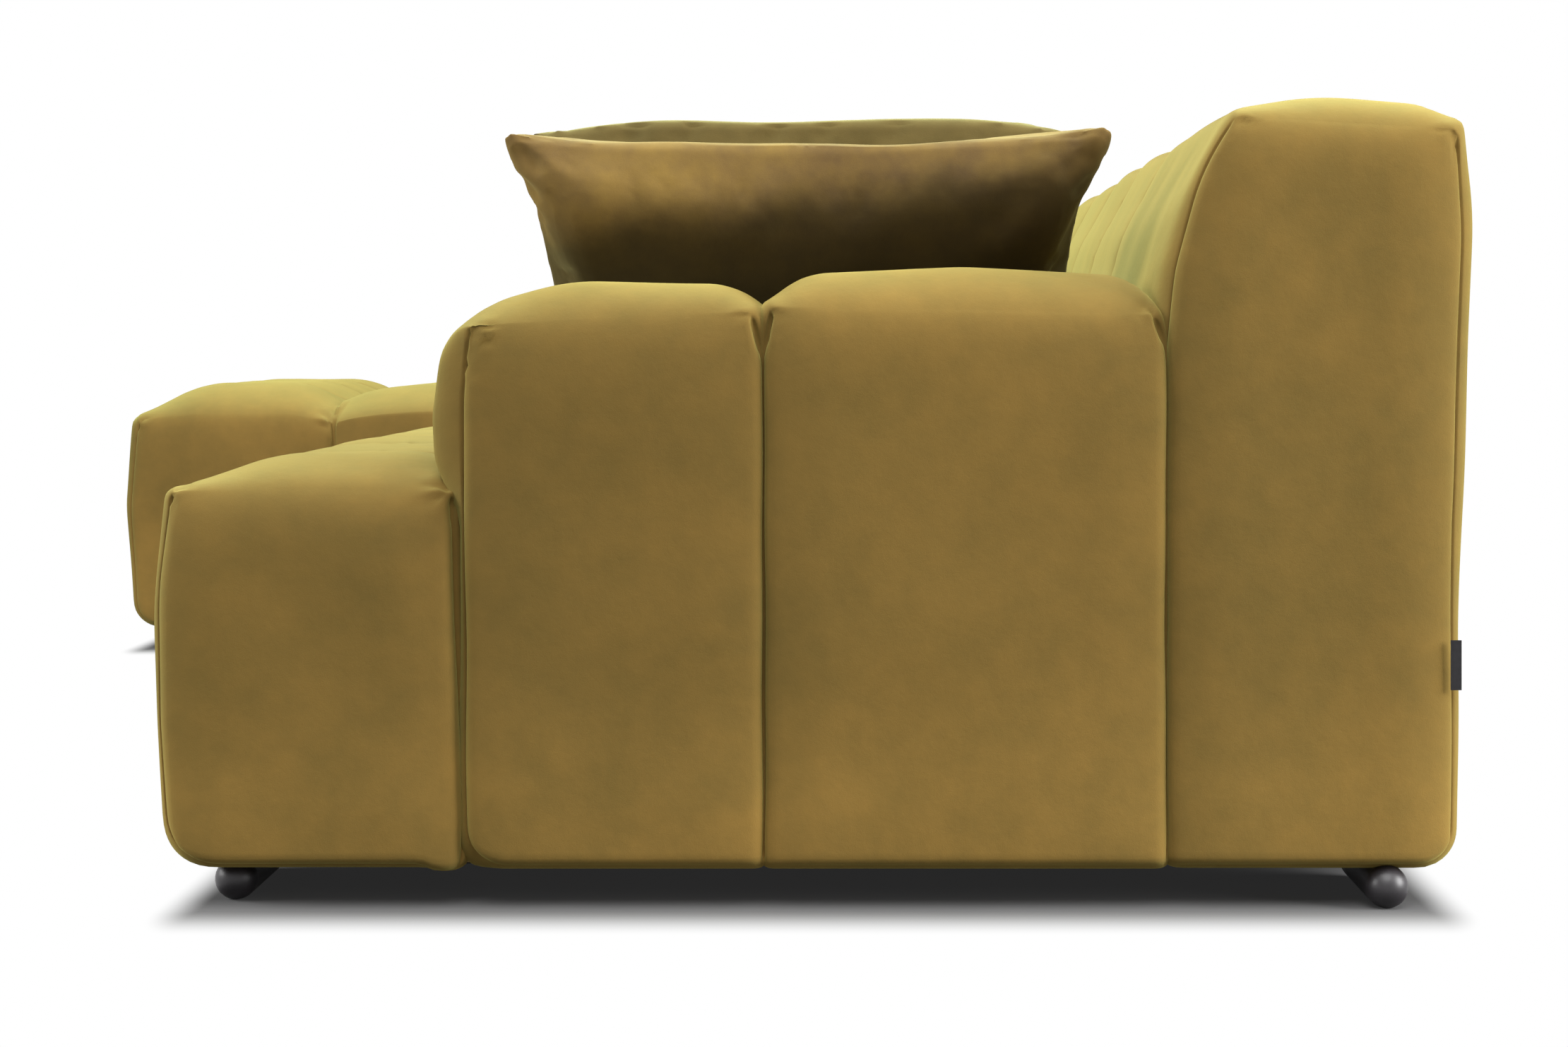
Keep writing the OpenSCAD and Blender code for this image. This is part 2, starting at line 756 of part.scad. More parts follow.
module back_posts() {
  color("#d8b98a")
    for (x = [for (c = sofa_cross_x) if (c > sofa_x0 && c < sofa_x1 - rail_thickness) c])
      prism(post_points, x, x + ply);
  color("#d8b98a") {
    prism(post_points, sofa_x0 + cover_wall, sofa_x0 + cover_wall + ply);
    prism(post_points, sofa_x1 - ply, sofa_x1);
  }
}

module back_top_rail() {
  color("#c9a26b")
    block(
      [sofa_x0 + cover_wall, core_front[1].x + back_pad + fit, post_top],
      [sofa_x1, core_rear - board - fit, post_top + ply]
    );
}

module back_board() {
  color("#8a6a45")
    block(
      [sofa_x0 + cover_wall, core_rear - board - fit, z_rail],
      [sofa_x1, core_rear - fit, post_top + ply]
    );
}

module chaise_back_posts() {
  color("#d8b98a")
    for (x = [chaise_x0, (chaise_x0 + chaise_x1 - ply) / 2, chaise_x1 - ply])
      prism(post_points, x, x + ply);
}

module chaise_back_top_rail() {
  color("#c9a26b")
    block(
      [chaise_x0, core_front[1].x + back_pad + fit, post_top],
      [chaise_x1, core_rear - board - fit, post_top + ply]
    );
}

module chaise_back_board() {
  color("#8a6a45")
    block([chaise_x0, core_rear - board - fit, z_rail], [chaise_x1, core_rear - fit, post_top + ply]);
}

// Dust covers under the rails
module dust_cover(low, high) {
  color("#1d1d1d") difference() {
    block([low.x, low.y, foot_height], [high.x, high.y, z_skirt]);
    bolt_bores();
  }
}

module sofa_dust_cover() {
  dust_cover([sofa_x0, sofa_y0], [sofa_x1, frame_y1]);
}

module chaise_dust_cover() {
  dust_cover([chaise_x0, chaise_y0], [chaise_x1, frame_y1]);
}

// Connectors: a socket on the sofa's end rail takes a hook on the chaise's side rail
connector_shares = [0.2, 0.6];
connector_places = [for (s = connector_shares) y_sofa + s * (y_seat_end - y_sofa)];
plate_low = z_skirt + (rail_height - plate_height) / 2;
plate_high = plate_low + plate_height;
hook_gap = 2.5 * plate;
lip_top = plate_high - 3 * plate;
plate_screw_levels = [plate_low + plate_height / 5, plate_low + plate_height / 2];
plate_screw_length = rail_thickness - plate;
plate_screw_offset = plate_width * 0.4;

module plate_screw_shape(grow) {
  rotate([0, 90, 0]) cylinder(d = plate_screw + grow, h = plate_screw_length + grow, $fn = 24);
}

module all_plate_screws(grow) {
  for (y = connector_places)
    for (z = plate_screw_levels)
      for (side = [-plate_screw_offset, plate_screw_offset]) {
        translate([sofa_x0 - plate, y + side, z]) plate_screw_shape(grow);
        translate([chaise_x1 + plate, y + side, z]) mirror([1, 0, 0]) plate_screw_shape(grow);
      }
}

module connector_bores() {
  all_plate_screws(fit);
}

module connector_sockets() {
  color("#8d9094") difference() {
    for (y = connector_places) {
      block([sofa_x0 - plate, y - plate_width / 2, plate_low], [sofa_x0, y + plate_width / 2, plate_high]);
      block(
        [sofa_x0 - 2 * plate - hook_gap, y - plate_width / 4, plate_low],
        [sofa_x0 - plate, y + plate_width / 4, plate_low + plate]
      );
      block(
        [sofa_x0 - 2 * plate - hook_gap, y - plate_width / 4, plate_low],
        [sofa_x0 - plate - hook_gap, y + plate_width / 4, lip_top]
      );
    }
    connector_bores();
  }
}

module connector_hooks() {
  color("#8d9094") difference() {
    for (y = connector_places) {
      block(
        [chaise_x1, y - plate_width / 2, plate_low],
        [chaise_x1 + plate, y + plate_width / 2, plate_high]
      );
      block(
        [chaise_x1 + plate, y - plate_width / 4, lip_top + fit],
        [sofa_x0 - 2 * plate, y + plate_width / 4, lip_top + fit + plate]
      );
      block(
        [sofa_x0 - 3 * plate, y - plate_width / 4, plate_low + 3 * plate],
        [sofa_x0 - 2 * plate, y + plate_width / 4, lip_top + fit + plate]
      );
    }
    connector_bores();
  }
}

module connector_screws() {
  color("#b9bcc0") all_plate_screws(0);
}

module frame_screws() {
  color("#b9bcc0") all_frame_screws(0);
}

// A lying cylinder with domed ends, cut flat where it stands and where it carries the frame
module foot(x, y) {
  r = foot_diameter / 2;
  translate([x, y, r - foot_flat]) intersection() {
    union() {
      translate([r - foot_length, 0, 0]) rotate([0, 90, 0])
        cylinder(r = r, h = foot_length - 2 * r, $fn = 48);
      translate([-r, 0, 0]) sphere(r = r, $fn = 48);
      translate([r - foot_length, 0, 0]) sphere(r = r, $fn = 48);
    }
    block([-foot_length - over, -2 * r, foot_flat - r], [over, 2 * r, r - foot_seat]);
  }
}

module feet() {
  color("#3a363a") difference() {
    for (p = foot_places) foot(p.x, p.y);
    bolt_bores();
  }
}

module foot_bolts() {
  color("#b9bcc0")
    for (p = bolt_places)
      translate([p.x, p.y, bolt_low]) cylinder(d = foot_bolt, h = bolt_high - bolt_low, $fn = 24);
}

// The tag is sewn into the rear seam of the back's end panel
module side_tag() {
  seam_y = y_back - (1 - back_outline_shares[0][0]) * back_depth - edge_swell / 2;
  color("#3b3a3d")
    block(
      [x_near - panel_dome + fit / 3, seam_y, tag_level],
      [x_near - panel_dome + fit / 3 + tag_thickness, seam_y + tag_width, tag_level + tag_height]
    );
}

// Scatter cushions

// A point on the sewn edge, as shares of half the width and height, with the sides drawn in
function edge_point(side, t, width, height) =
  let (
    u = 2 * t - 1,
    long_in = 2 * long_draw / height * (1 - u * u),
    side_in = 2 * side_draw / width * (1 - u * u)
  )
  side == 0 ? [u, long_in - 1] :
  side == 1 ? [1 - side_in, u] :
  side == 2 ? [-u, 1 - long_in] :
  [side_in - 1, -u];

// Half thickness of the cushion at a point given in those shares
function crown(p) = sqrt(max((1 - p.x * p.x) * (1 - p.y * p.y), 0));

// A cushion in its own plane: steps along a side, rings from the edge to the middle
module cushion_form(width, height, thickness, edge, steps, ring_shares) {
  rim = [for (side = [0:3]) each [for (k = [0:steps - 1]) edge_point(side, k / steps, width, height)]];
  n = len(rim);
  m = len(ring_shares);
  points = [for (way = [1, -1]) for (r = ring_shares) for (p = rim)
    [r * p.x * width / 2, r * p.y * height / 2,
      way * (edge / 2 + (thickness - edge) / 2 * crown(r * [for (c = p) c / max(abs(p.x), abs(p.y), 1)]))]];
  peaks = [[0, 0, thickness / 2], [0, 0, -thickness / 2]];
  up = [for (k = [0:m - 2]) each [for (i = [0:n - 1])
    let (a = k * n + i, b = k * n + (i + 1) % n) each [[a, a + n, b + n], [a, b + n, b]]]];
  down = [for (f = up) [f[0] + m * n, f[2] + m * n, f[1] + m * n]];
  tops = [for (i = [0:n - 1])
    let (j = (i + 1) % n, a = (m - 1) * n, b = (2 * m - 1) * n)
    each [[a + j, a + i, 2 * m * n], [b + i, b + j, 2 * m * n + 1]]];
  seam = [for (i = [0:n - 1])
    let (j = (i + 1) % n) each [[i, j, m * n + j], [i, m * n + j, m * n + i]]];
  polyhedron(points = concat(points, peaks), faces = concat(up, down, tops, seam));
}

outer_ring_shares = [1, 0.9, 0.7, 0.4];
inner_ring_shares = [1, 0.6];
cushion_steps = 8;
filling_steps = 3;
cushion_y = y_seat_back - back_swell - cover_wall - cushion_width / 2;

module near_place() {
  translate([x_arm - near_reach, cushion_y, seat_height + near_rise])
    rotate([0, near_lean, 0]) rotate([90, 0, 90]) translate([0, near_height / 2, 0]) children();
}

module far_place() {
  translate([x_arm - near_reach - far_reach, cushion_y - far_shift, seat_height + far_rise])
    rotate([0, far_lean, 0]) rotate([90, 0, 90]) translate([0, far_height / 2, 0]) children();
}

module cushion_cover(height) {
  inset = 5 * cushion_wall;
  difference() {
    cushion_form(
      cushion_width, height, cushion_thickness, cushion_edge, cushion_steps, outer_ring_shares
    );
    cushion_form(
      cushion_width - 2 * inset, height - 2 * inset, cushion_thickness - 2 * cushion_wall, cushion_edge,
      filling_steps, inner_ring_shares
    );
  }
}

module cushion_filling(height) {
  inset = 5 * cushion_wall + fit;
  cushion_form(
    cushion_width - 2 * inset, height - 2 * inset, cushion_thickness - 2 * cushion_wall - 2 * fit,
    cushion_edge - 2 * fit, filling_steps, inner_ring_shares
  );
}

module near_cushion_cover() {
  color("#5f4a24") near_place() cushion_cover(near_height);
}

module near_cushion_filling() {
  color("#f2f0e8") near_place() cushion_filling(near_height);
}

module far_cushion_cover() {
  color("#7d733c") far_place() cushion_cover(far_height);
}

module far_cushion_filling() {
  color("#f2f0e8") far_place() cushion_filling(far_height);
}

front_roll_cover();
seat_cover();
arm_front_cover();
arm_rear_cover();
back_cover();
chaise_front_cover();
chaise_seat_cover();
chaise_back_cover();
front_roll_foam();
seat_foam();
arm_foam();
back_foam();
chaise_front_foam();
chaise_seat_foam();
chaise_back_foam();
seat_webbing();
chaise_webbing();
sofa_long_rails();
sofa_cross_rails();
chaise_side_rails();
chaise_cross_rails();
corner_blocks();
arm_boxes();
back_posts();
back_top_rail();
back_board();
chaise_back_posts();
chaise_back_top_rail();
chaise_back_board();
sofa_dust_cover();
chaise_dust_cover();
connector_sockets();
connector_hooks();
connector_screws();
frame_screws();
feet();
foot_bolts();
side_tag();
near_cushion_cover();
near_cushion_filling();
far_cushion_cover();
far_cushion_filling();
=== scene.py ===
"""A channelled lounge sofa with a chaise and two scatter cushions, seen along its length."""
import json
import math

import bpy
import numpy as np
from mathutils import Matrix, Vector

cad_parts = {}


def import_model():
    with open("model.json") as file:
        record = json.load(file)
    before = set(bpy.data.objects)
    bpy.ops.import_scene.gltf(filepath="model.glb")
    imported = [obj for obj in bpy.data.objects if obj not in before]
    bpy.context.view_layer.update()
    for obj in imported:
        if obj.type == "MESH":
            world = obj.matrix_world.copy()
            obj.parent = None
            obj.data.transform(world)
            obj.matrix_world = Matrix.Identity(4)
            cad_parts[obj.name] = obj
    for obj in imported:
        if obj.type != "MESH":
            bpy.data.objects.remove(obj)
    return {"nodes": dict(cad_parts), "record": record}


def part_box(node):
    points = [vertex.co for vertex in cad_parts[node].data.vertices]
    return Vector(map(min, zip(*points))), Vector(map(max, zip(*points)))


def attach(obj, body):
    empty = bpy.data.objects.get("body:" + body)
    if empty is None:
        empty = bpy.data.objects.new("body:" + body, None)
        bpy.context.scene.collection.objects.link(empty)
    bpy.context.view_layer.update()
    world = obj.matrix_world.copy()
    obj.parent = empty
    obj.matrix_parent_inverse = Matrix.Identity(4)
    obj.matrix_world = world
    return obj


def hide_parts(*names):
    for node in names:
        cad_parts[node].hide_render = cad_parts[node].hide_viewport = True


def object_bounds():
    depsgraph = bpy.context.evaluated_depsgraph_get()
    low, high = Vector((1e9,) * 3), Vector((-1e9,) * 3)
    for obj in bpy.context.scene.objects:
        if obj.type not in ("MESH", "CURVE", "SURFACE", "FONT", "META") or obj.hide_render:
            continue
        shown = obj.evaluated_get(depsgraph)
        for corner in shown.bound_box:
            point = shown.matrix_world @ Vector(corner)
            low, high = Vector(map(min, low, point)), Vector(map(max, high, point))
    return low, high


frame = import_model()
cad_low, cad_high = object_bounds()
scene = bpy.context.scene

MM = 0.001

# The photograph: its size, its vanishing point and its focal length in pixels
PHOTO_WIDTH = 2220
PHOTO_HEIGHT = 1482
VANISHING_X = 1215
VANISHING_Y = 487
FOCAL_PIXELS = 4086
SENSOR = 36.0
CAMERA_AT = (4.260, 0.3453, 0.522)


def camera():
    data = bpy.data.cameras.new("camera")
    data.sensor_width = SENSOR
    data.lens = FOCAL_PIXELS / PHOTO_WIDTH * SENSOR
    data.shift_x = (PHOTO_WIDTH / 2 - VANISHING_X) / PHOTO_WIDTH
    data.shift_y = (VANISHING_Y - PHOTO_HEIGHT / 2) / PHOTO_WIDTH
    data.clip_end = 50
    obj = bpy.data.objects.new("camera", data)
    obj.location = CAMERA_AT
    obj.rotation_euler = (math.pi / 2, 0, math.pi / 2)
    scene.collection.objects.link(obj)
    scene.camera = obj


camera()


# Materials

def math_node(tree, operation, *values):
    """A math node fed by links and plain numbers."""
    node = tree.nodes.new("ShaderNodeMath")
    node.operation = operation
    for k, value in enumerate(values):
        if isinstance(value, (int, float)):
            node.inputs[k].default_value = value
        else:
            tree.links.new(value, node.inputs[k])
    return node.outputs[0]


class Nodes:
    """Short names for building one procedural material."""

    def __init__(self, name):
        self.material = bpy.data.materials.new(name)
        self.material.use_nodes = True
        self.tree = self.material.node_tree
        self.shader = self.tree.nodes["Principled BSDF"]
        self.coords = self.tree.nodes.new("ShaderNodeTexCoord").outputs["Object"]

    def link(self, a, b):
        self.tree.links.new(a, b)

    def add(self, kind, **inputs):
        """A new node, each of its named inputs linked or given a value."""
        node = self.tree.nodes.new("ShaderNode" + kind)
        for name, value in inputs.items():
            socket = node.inputs[name.replace("_", " ")]
            if isinstance(value, bpy.types.NodeSocket):
                self.link(value, socket)
            else:
                socket.default_value = value
        return node

    def stretched(self, scale):
        return self.add("Mapping", Scale=scale, Vector=self.coords).outputs["Vector"]

    def noise(self, scale, detail=3.0, rough=0.55, where=None):
        where = where or self.coords
        node = self.add("TexNoise", Scale=scale, Detail=detail, Roughness=rough, Vector=where)
        return node.outputs["Fac"]

    def wave(self, scale, distortion, axis, where=None):
        where = where or self.coords
        node = self.add("TexWave", Scale=scale, Distortion=distortion, Vector=where)
        node.bands_direction = axis
        return node.outputs["Fac"]

    def ramp(self, value, low, high, start=0.3, end=0.7):
        node = self.add("ValToRGB", Fac=value)
        first, last = node.color_ramp.elements
        first.position, last.position = start, end
        first.color, last.color = (*low, 1), (*high, 1)
        return node.outputs["Color"]

    def mix(self, a, b, share, blend="MIX"):
        node = self.add("Mix")
        node.data_type = "RGBA"
        node.blend_type = blend
        node.inputs[0].default_value = share
        self.link(a, node.inputs[6])
        self.link(b, node.inputs[7])
        return node.outputs[2]

    def span(self, value, low, high):
        return self.add("MapRange", Value=value, To_Min=low, To_Max=high).outputs["Result"]

    def ease(self, value, start, end, low=0.0, high=1.0):
        """Eases from low, for a value at the start, to high, for one at the end."""
        node = self.add("MapRange", Value=value, From_Min=start, From_Max=end,
                        To_Min=low, To_Max=high)
        node.interpolation_type = "SMOOTHSTEP"
        return node.outputs["Result"]

    def painted_light(self, direction, start, end, low, high, waver=0.0):
        """Painted light and shade: brightness eased along one direction, with an edge that wavers.
        """
        place = self.add("VectorMath")
        place.operation = "DOT_PRODUCT"
        place.inputs[1].default_value = direction
        self.link(self.coords, place.inputs[0])
        shift = self.noise(PAINTED_EDGE_WAVER_SCALE, 4, 0.6)
        moved = math_node(self.tree, "MULTIPLY_ADD", shift, waver, place.outputs["Value"])
        return self.ease(moved, start, end, low, high)

    def bump(self, value, distance, under=None, strength=1.0):
        node = self.add("Bump", Height=value, Distance=distance, Strength=strength)
        if under is not None:
            self.link(under, node.inputs["Normal"])
        return node.outputs["Normal"]

    def set(self, **values):
        for name, value in values.items():
            self.shader.inputs[name.replace("_", " ")].default_value = value

    def finish(self, color=None, roughness=None, normal=None):
        links = ((color, "Base Color"), (roughness, "Roughness"), (normal, "Normal"))
        for value, name in links:
            if value is not None:
                self.link(value, self.shader.inputs[name])
        return self.material


# The velvet's patterns: noise scales for a metre, one of them for the wavering edge of its painted
# light and shade, and the heights of its two bumps
BRUSH_SCALE = 6.5
PATCH_SCALE = 30
PILE_SCALE = 1400
CRUSH_SCALE = 26
FIBRE_SCALE = 1100
PAINTED_EDGE_WAVER_SCALE = 9
STREAK_SCALES = (11, 1.6, 1.6)
CRUSH_HEIGHT = 2.2 * MM
FIBRE_HEIGHT = 0.35 * MM


def velvet(name, dark, light, sheen, spread, tint, painted_light, streaks):
    """Short pile that is brushed this way and that, with a soft sheen at grazing angles and
    painted light and shade eased along one direction.
    """
    n = Nodes(name)
    brushed = n.ramp(n.noise(BRUSH_SCALE, 4, 0.6), dark, light, 0.36, 0.64)
    patches = n.ramp(n.noise(PATCH_SCALE, 3, 0.6), dark, light, 0.32, 0.7)
    pile = n.ramp(n.noise(PILE_SCALE, 2, 0.5), dark, light, 0.2, 0.8)
    color = n.mix(n.mix(brushed, patches, 0.4), pile, 0.16)
    # Painted light and shade, multiplied into the colour along one direction
    color = n.mix(color, n.painted_light(*painted_light), 1.0, "MULTIPLY")
    streaked = n.noise(1.0, 2, 0.5, n.stretched(STREAK_SCALES))
    streaked = n.span(streaked, 1 - 2.2 * streaks, 1 + 2 * streaks)
    color = n.mix(color, streaked, 1.0, "MULTIPLY")
    crush = n.bump(n.noise(CRUSH_SCALE, 4, 0.6), CRUSH_HEIGHT, strength=0.35)
    normal = n.bump(n.noise(FIBRE_SCALE, 2, 0.6), FIBRE_HEIGHT, crush, strength=0.45)
    n.set(Sheen_Weight=sheen, Sheen_Roughness=spread, Sheen_Tint=(*tint, 1))
    n.set(Specular_IOR_Level=0.06)
    return n.finish(color, n.span(n.noise(60), 0.8, 0.95), normal)


# How many times longer than wide the grain is
GRAIN_DRAWN = 12


def grained(name, dark, light, across, length):
    """Planed wood with its grain drawn out along one direction."""
    n = Nodes(name)
    scales = [across / GRAIN_DRAWN if axis == length else across for axis in "XYZ"]
    where = n.stretched(scales)
    grain = n.noise(1.0, 6, 0.65, where)
    rings = n.wave(0.35, 6.0, "Y" if length == "X" else "X", where)
    color = n.mix(n.ramp(grain, dark, light), n.ramp(rings, dark, light, 0.1, 0.9), 0.35)
    n.set(Specular_IOR_Level=0.3)
    return n.finish(color, n.span(grain, 0.5, 0.75), n.bump(grain, 0.3 * MM))


def plain_cloth(name, dark, light, thread, roughness):
    """Woven or pressed cloth: two crossed sets of threads and small blotches."""
    n = Nodes(name)
    warp = n.wave(1 / thread, 0.4, "X")
    weft = n.wave(1 / thread, 0.4, "Z")
    weave = n.mix(warp, weft, 0.5, "ADD")
    blotches = n.ramp(n.noise(120, 4), dark, light)
    color = n.mix(blotches, n.ramp(weave, dark, light, 0.1, 0.9), 0.4)
    matt = n.span(n.noise(200), roughness - 0.06, roughness + 0.06)
    n.set(Specular_IOR_Level=0.2)
    return n.finish(color, matt, n.bump(weave, 0.2 * MM))


def foam_like(name, dark, light):
    """Open cells of foam or loose wadding."""
    n = Nodes(name)
    cells = n.noise(420, 5, 0.7)
    n.set(Specular_IOR_Level=0.2)
    return n.finish(n.ramp(cells, dark, light), n.span(cells, 0.85, 0.98), n.bump(cells, 0.8 * MM))


def plated(name, dark, light):
    """Dull zinc plating with a faint cloud in it."""
    n = Nodes(name)
    cloud = n.noise(90, 5, 0.6)
    n.set(Metallic=1.0)
    normal = n.bump(n.noise(600), 0.05 * MM)
    return n.finish(n.ramp(cloud, dark, light), n.span(cloud, 0.28, 0.46), normal)


def lacquer(name, dark, light):
    """Satin charcoal lacquer with a fine orange-peel surface."""
    n = Nodes(name)
    cloud = n.noise(45, 4, 0.6)
    n.set(Specular_IOR_Level=0.5, Coat_Weight=0.15, Coat_Roughness=0.35)
    normal = n.bump(n.noise(900), 0.04 * MM)
    return n.finish(n.ramp(cloud, dark, light), n.span(cloud, 0.4, 0.5), normal)


# How light and shade are painted into the velvet: a direction, where along it in metres the change
# starts and ends, the brightness before and after it, and how far its edge wavers
# Painted floor bounce: the sofa's velvet is half again as bright near its foot
SOFA_PAINTED_BOUNCE = ((0, 0, 1), 0.04, 0.24, 1.5, 1.0)
# Painted shade on the near cushion's lower part and a painted highlight on its upper part
NEAR_PAINTED_SHADE = ((0, -0.14, 1), 0.63, 0.69, 0.45, 1.65, 0.06)
# Painted shade on the far cushion's lower part and a little painted light at its top
FAR_PAINTED_SHADE = ((0, 0, 1), 0.42, 0.6, 0.8, 1.1)

# Each slot's kind, its dark and light colours, and what else that kind asks for
KINDS = {
    "velvet": (
        velvet, (0.122, 0.073, 0.0185), (0.187, 0.105, 0.025),
        0.34, 0.6, (1.0, 0.99, 0.3), SOFA_PAINTED_BOUNCE, 0.12,
    ),
    "near_cushion_velvet": (
        velvet, (0.065, 0.039, 0.017), (0.140, 0.088, 0.022),
        0.3, 0.5, (1.0, 0.94, 0.4), NEAR_PAINTED_SHADE, 0.05,
    ),
    "far_cushion_velvet": (
        velvet, (0.066, 0.048, 0.016), (0.110, 0.078, 0.025),
        0.4, 0.5, (0.95, 0.95, 0.36), FAR_PAINTED_SHADE, 0.05,
    ),
    "foam": (foam_like, (0.70, 0.62, 0.36), (0.86, 0.80, 0.55)),
    "cushion_wadding": (foam_like, (0.74, 0.73, 0.69), (0.88, 0.87, 0.84)),
    "webbing": (plain_cloth, (0.020, 0.020, 0.020), (0.060, 0.060, 0.062), 2.5 * MM, 0.8),
    "dust_cloth": (plain_cloth, (0.012, 0.012, 0.012), (0.034, 0.034, 0.034), 1.2 * MM, 0.9),
    "tag_cloth": (plain_cloth, (0.010, 0.009, 0.010), (0.022, 0.021, 0.023), 0.8 * MM, 0.7),
    "timber": (grained, (0.42, 0.27, 0.13), (0.66, 0.48, 0.28), 60, "X"),
    "plywood": (grained, (0.50, 0.34, 0.18), (0.72, 0.54, 0.33), 90, "Y"),
    "hardboard": (grained, (0.20, 0.12, 0.06), (0.34, 0.22, 0.12), 200, "X"),
    "zinc": (plated, (0.48, 0.49, 0.50), (0.64, 0.65, 0.67)),
    "feet_finish": (lacquer, (0.012, 0.010, 0.012), (0.020, 0.017, 0.020)),
}
materials = {name: kind(name, *values) for name, (kind, *values) in KINDS.items()}

slot_of = {s["node"]: s["material_slot"] for s in frame["record"]["subparts"]}
for cad_name, cad_object in frame["nodes"].items():
    cad_object.data.materials.clear()
    cad_object.data.materials.append(materials[slot_of[cad_name]])


# Outlines across the depth, as arrays of points (y, z)

# Steps along an outline, the drop of its shoulders in valleys, and how fast graded steps grow
ARC_STEP = 3 * MM
OUTLINE_STEP = 2 * MM
SHOULDER = 1.5
GROWTH = 1.4


def rounded(corners, depth, height):
    """A closed outline from its corners, each given as shares of the depth and the height, and a
    radius as a share of the height."""
    at = [Vector((y * depth, z * height)) for y, z, _ in corners]
    points = []
    for i, corner in enumerate(at):
        a = (at[i - 1] - corner).normalized()
        b = (at[(i + 1) % len(at)] - corner).normalized()
        half = math.acos(max(-1.0, min(1.0, a.dot(b)))) / 2
        radius = corners[i][2] * height
        centre = corner + (a + b).normalized() * radius / math.sin(half)
        start = corner + a * radius / math.tan(half) - centre
        end = corner + b * radius / math.tan(half) - centre
        turn = math.atan2(start.x * end.y - start.y * end.x, start.dot(end))
        first = math.atan2(start.y, start.x)
        steps = max(3, math.ceil(abs(turn) * radius / ARC_STEP))
        for k in range(steps + 1):
            angle = first + turn * k / steps
            y, z = radius * math.cos(angle), radius * math.sin(angle)
            points.append((centre.x + y, centre.y + z))
    return np.array(points)


def crowned(depth, height, rows, valley):
    """A closed outline with a flat bottom, lower shoulders and crowned rows on top."""
    points = [(0, 0), (depth, 0), (depth, height - SHOULDER * valley)]
    for row in range(rows - 1, -1, -1):
        for share in 0.5 + 0.5 * np.cos(np.linspace(0.02, 0.98, 40) * math.pi):
            top = height - valley * (1 - math.sqrt(4 * share * (1 - share)))
            points.append(((row + share) * depth / rows, top))
    points.append((0, height - SHOULDER * valley))
    return np.array(points)


def along(points, closed=True):
    """Length along a line of points, from its first one."""
    ends = np.vstack([points, points[:1]]) if closed else points
    return np.concatenate([[0], np.cumsum(np.linalg.norm(np.diff(ends, axis=0), axis=1))])


def pick(points, lengths, wanted):
    """The points at the wanted lengths along a line."""
    return np.stack([np.interp(wanted, lengths, places) for places in points.T], axis=1)


def smoothed(points, reach):
    """The outline with its kinks eased over a short reach."""
    lengths = along(points)
    count = int(lengths[-1] / OUTLINE_STEP)
    wanted = np.linspace(0, lengths[-1], count, endpoint=False)
    ring = pick(np.vstack([points, points[:1]]), lengths, wanted)
    for _ in range(max(1, int((reach / OUTLINE_STEP) ** 2))):
        ring = 0.5 * ring + 0.25 * (np.roll(ring, 1, 0) + np.roll(ring, -1, 0))
    return ring


def graded(a, b, fine_a, fine_b, coarse):
    """Places from a to b, close together at both ends."""
    halves = []
    for fine in (fine_a, fine_b):
        half, step, places = abs(b - a) / 2, fine, [0.0]
        while places[-1] + step < half and step < coarse:
            places.append(places[-1] + step)
            step *= GROWTH
        rest = half - places[-1]
        count = max(1, round(rest / step))
        places += [places[-1] + rest * (k + 1) / count for k in range(count)]
        halves.append(np.array(places) / (2 * half))
    shares = np.concatenate([halves[0], 1 - halves[1][-2::-1]])
    return a + (b - a) * shares


def parts_of(ring, lean):
    """Rear, top, front and bottom of an outline. The lean weighs how far forward its upper front
    corner lies against how high."""
    unit_box = (ring - ring.min(0)) / (ring.max(0) - ring.min(0))
    ways = ((1, -1), (1, 1), (lean, 1), (-1, -1))
    corner = [int(np.argmax(unit_box @ np.array(way))) for way in ways]
    ring = np.roll(ring, -corner[0], axis=0)
    corner = [(c - corner[0]) % len(ring) for c in corner] + [len(ring)]
    closed = np.vstack([ring, ring[:1]])
    return [closed[corner[k]:corner[k + 1] + 1] for k in range(4)]


def cuts_of(parts, fines, coarse):
    """Shares at which the facing sides of an outline are cut, as many on one as on the other."""
    cuts = []
    for pair in (0, 1):
        mean = (along(parts[pair], False)[-1] + along(parts[pair + 2], False)[-1]) / 2
        cuts.append(graded(0, mean, fines[pair], fines[pair], coarse) / mean)
    return cuts


def cut_ring(ring, cuts, lean):
    """The outline again, with points at the cuts of its four sides."""
    sides = []
    for k, side in enumerate(parts_of(ring, lean)):
        lengths = along(side, False)
        sides.append(pick(side, lengths, cuts[k % 2] * lengths[-1])[:-1])
    return np.vstack(sides)


def normals_of(ring):
    """Directions out of an outline, at each of its points."""
    ahead = np.roll(ring, -1, 0) - np.roll(ring, 1, 0)
    ahead /= np.linalg.norm(ahead, axis=1)[:, None]
    return np.stack([ahead[:, 1], -ahead[:, 0]], axis=1)


def inset(ring, side, drop):
    """The outline drawn in at its sides and lowered at its top."""
    normal = normals_of(ring)
    return ring - np.stack([normal[:, 0] * side, np.maximum(normal[:, 1], 0) * drop], axis=1)


def dip(share, edge=0.0):
    """Depth of a rounding at a share of its length: 1 at the edge and 0 at its end."""
    share = edge + (1 - edge) * np.clip(share, 0, 1)
    return (1 - np.sqrt(1 - (1 - share) ** 2)) / (1 - np.sqrt(1 - (1 - edge) ** 2))


def edge_for(steep):
    """The start of a rounding that leaves its edge with a given steepness."""
    edge = np.geomspace(0.5, 0.0005, 60)
    rest = np.sqrt(1 - (1 - edge) ** 2)
    return np.interp(steep, (1 - edge) ** 2 / rest / (1 - rest), edge)


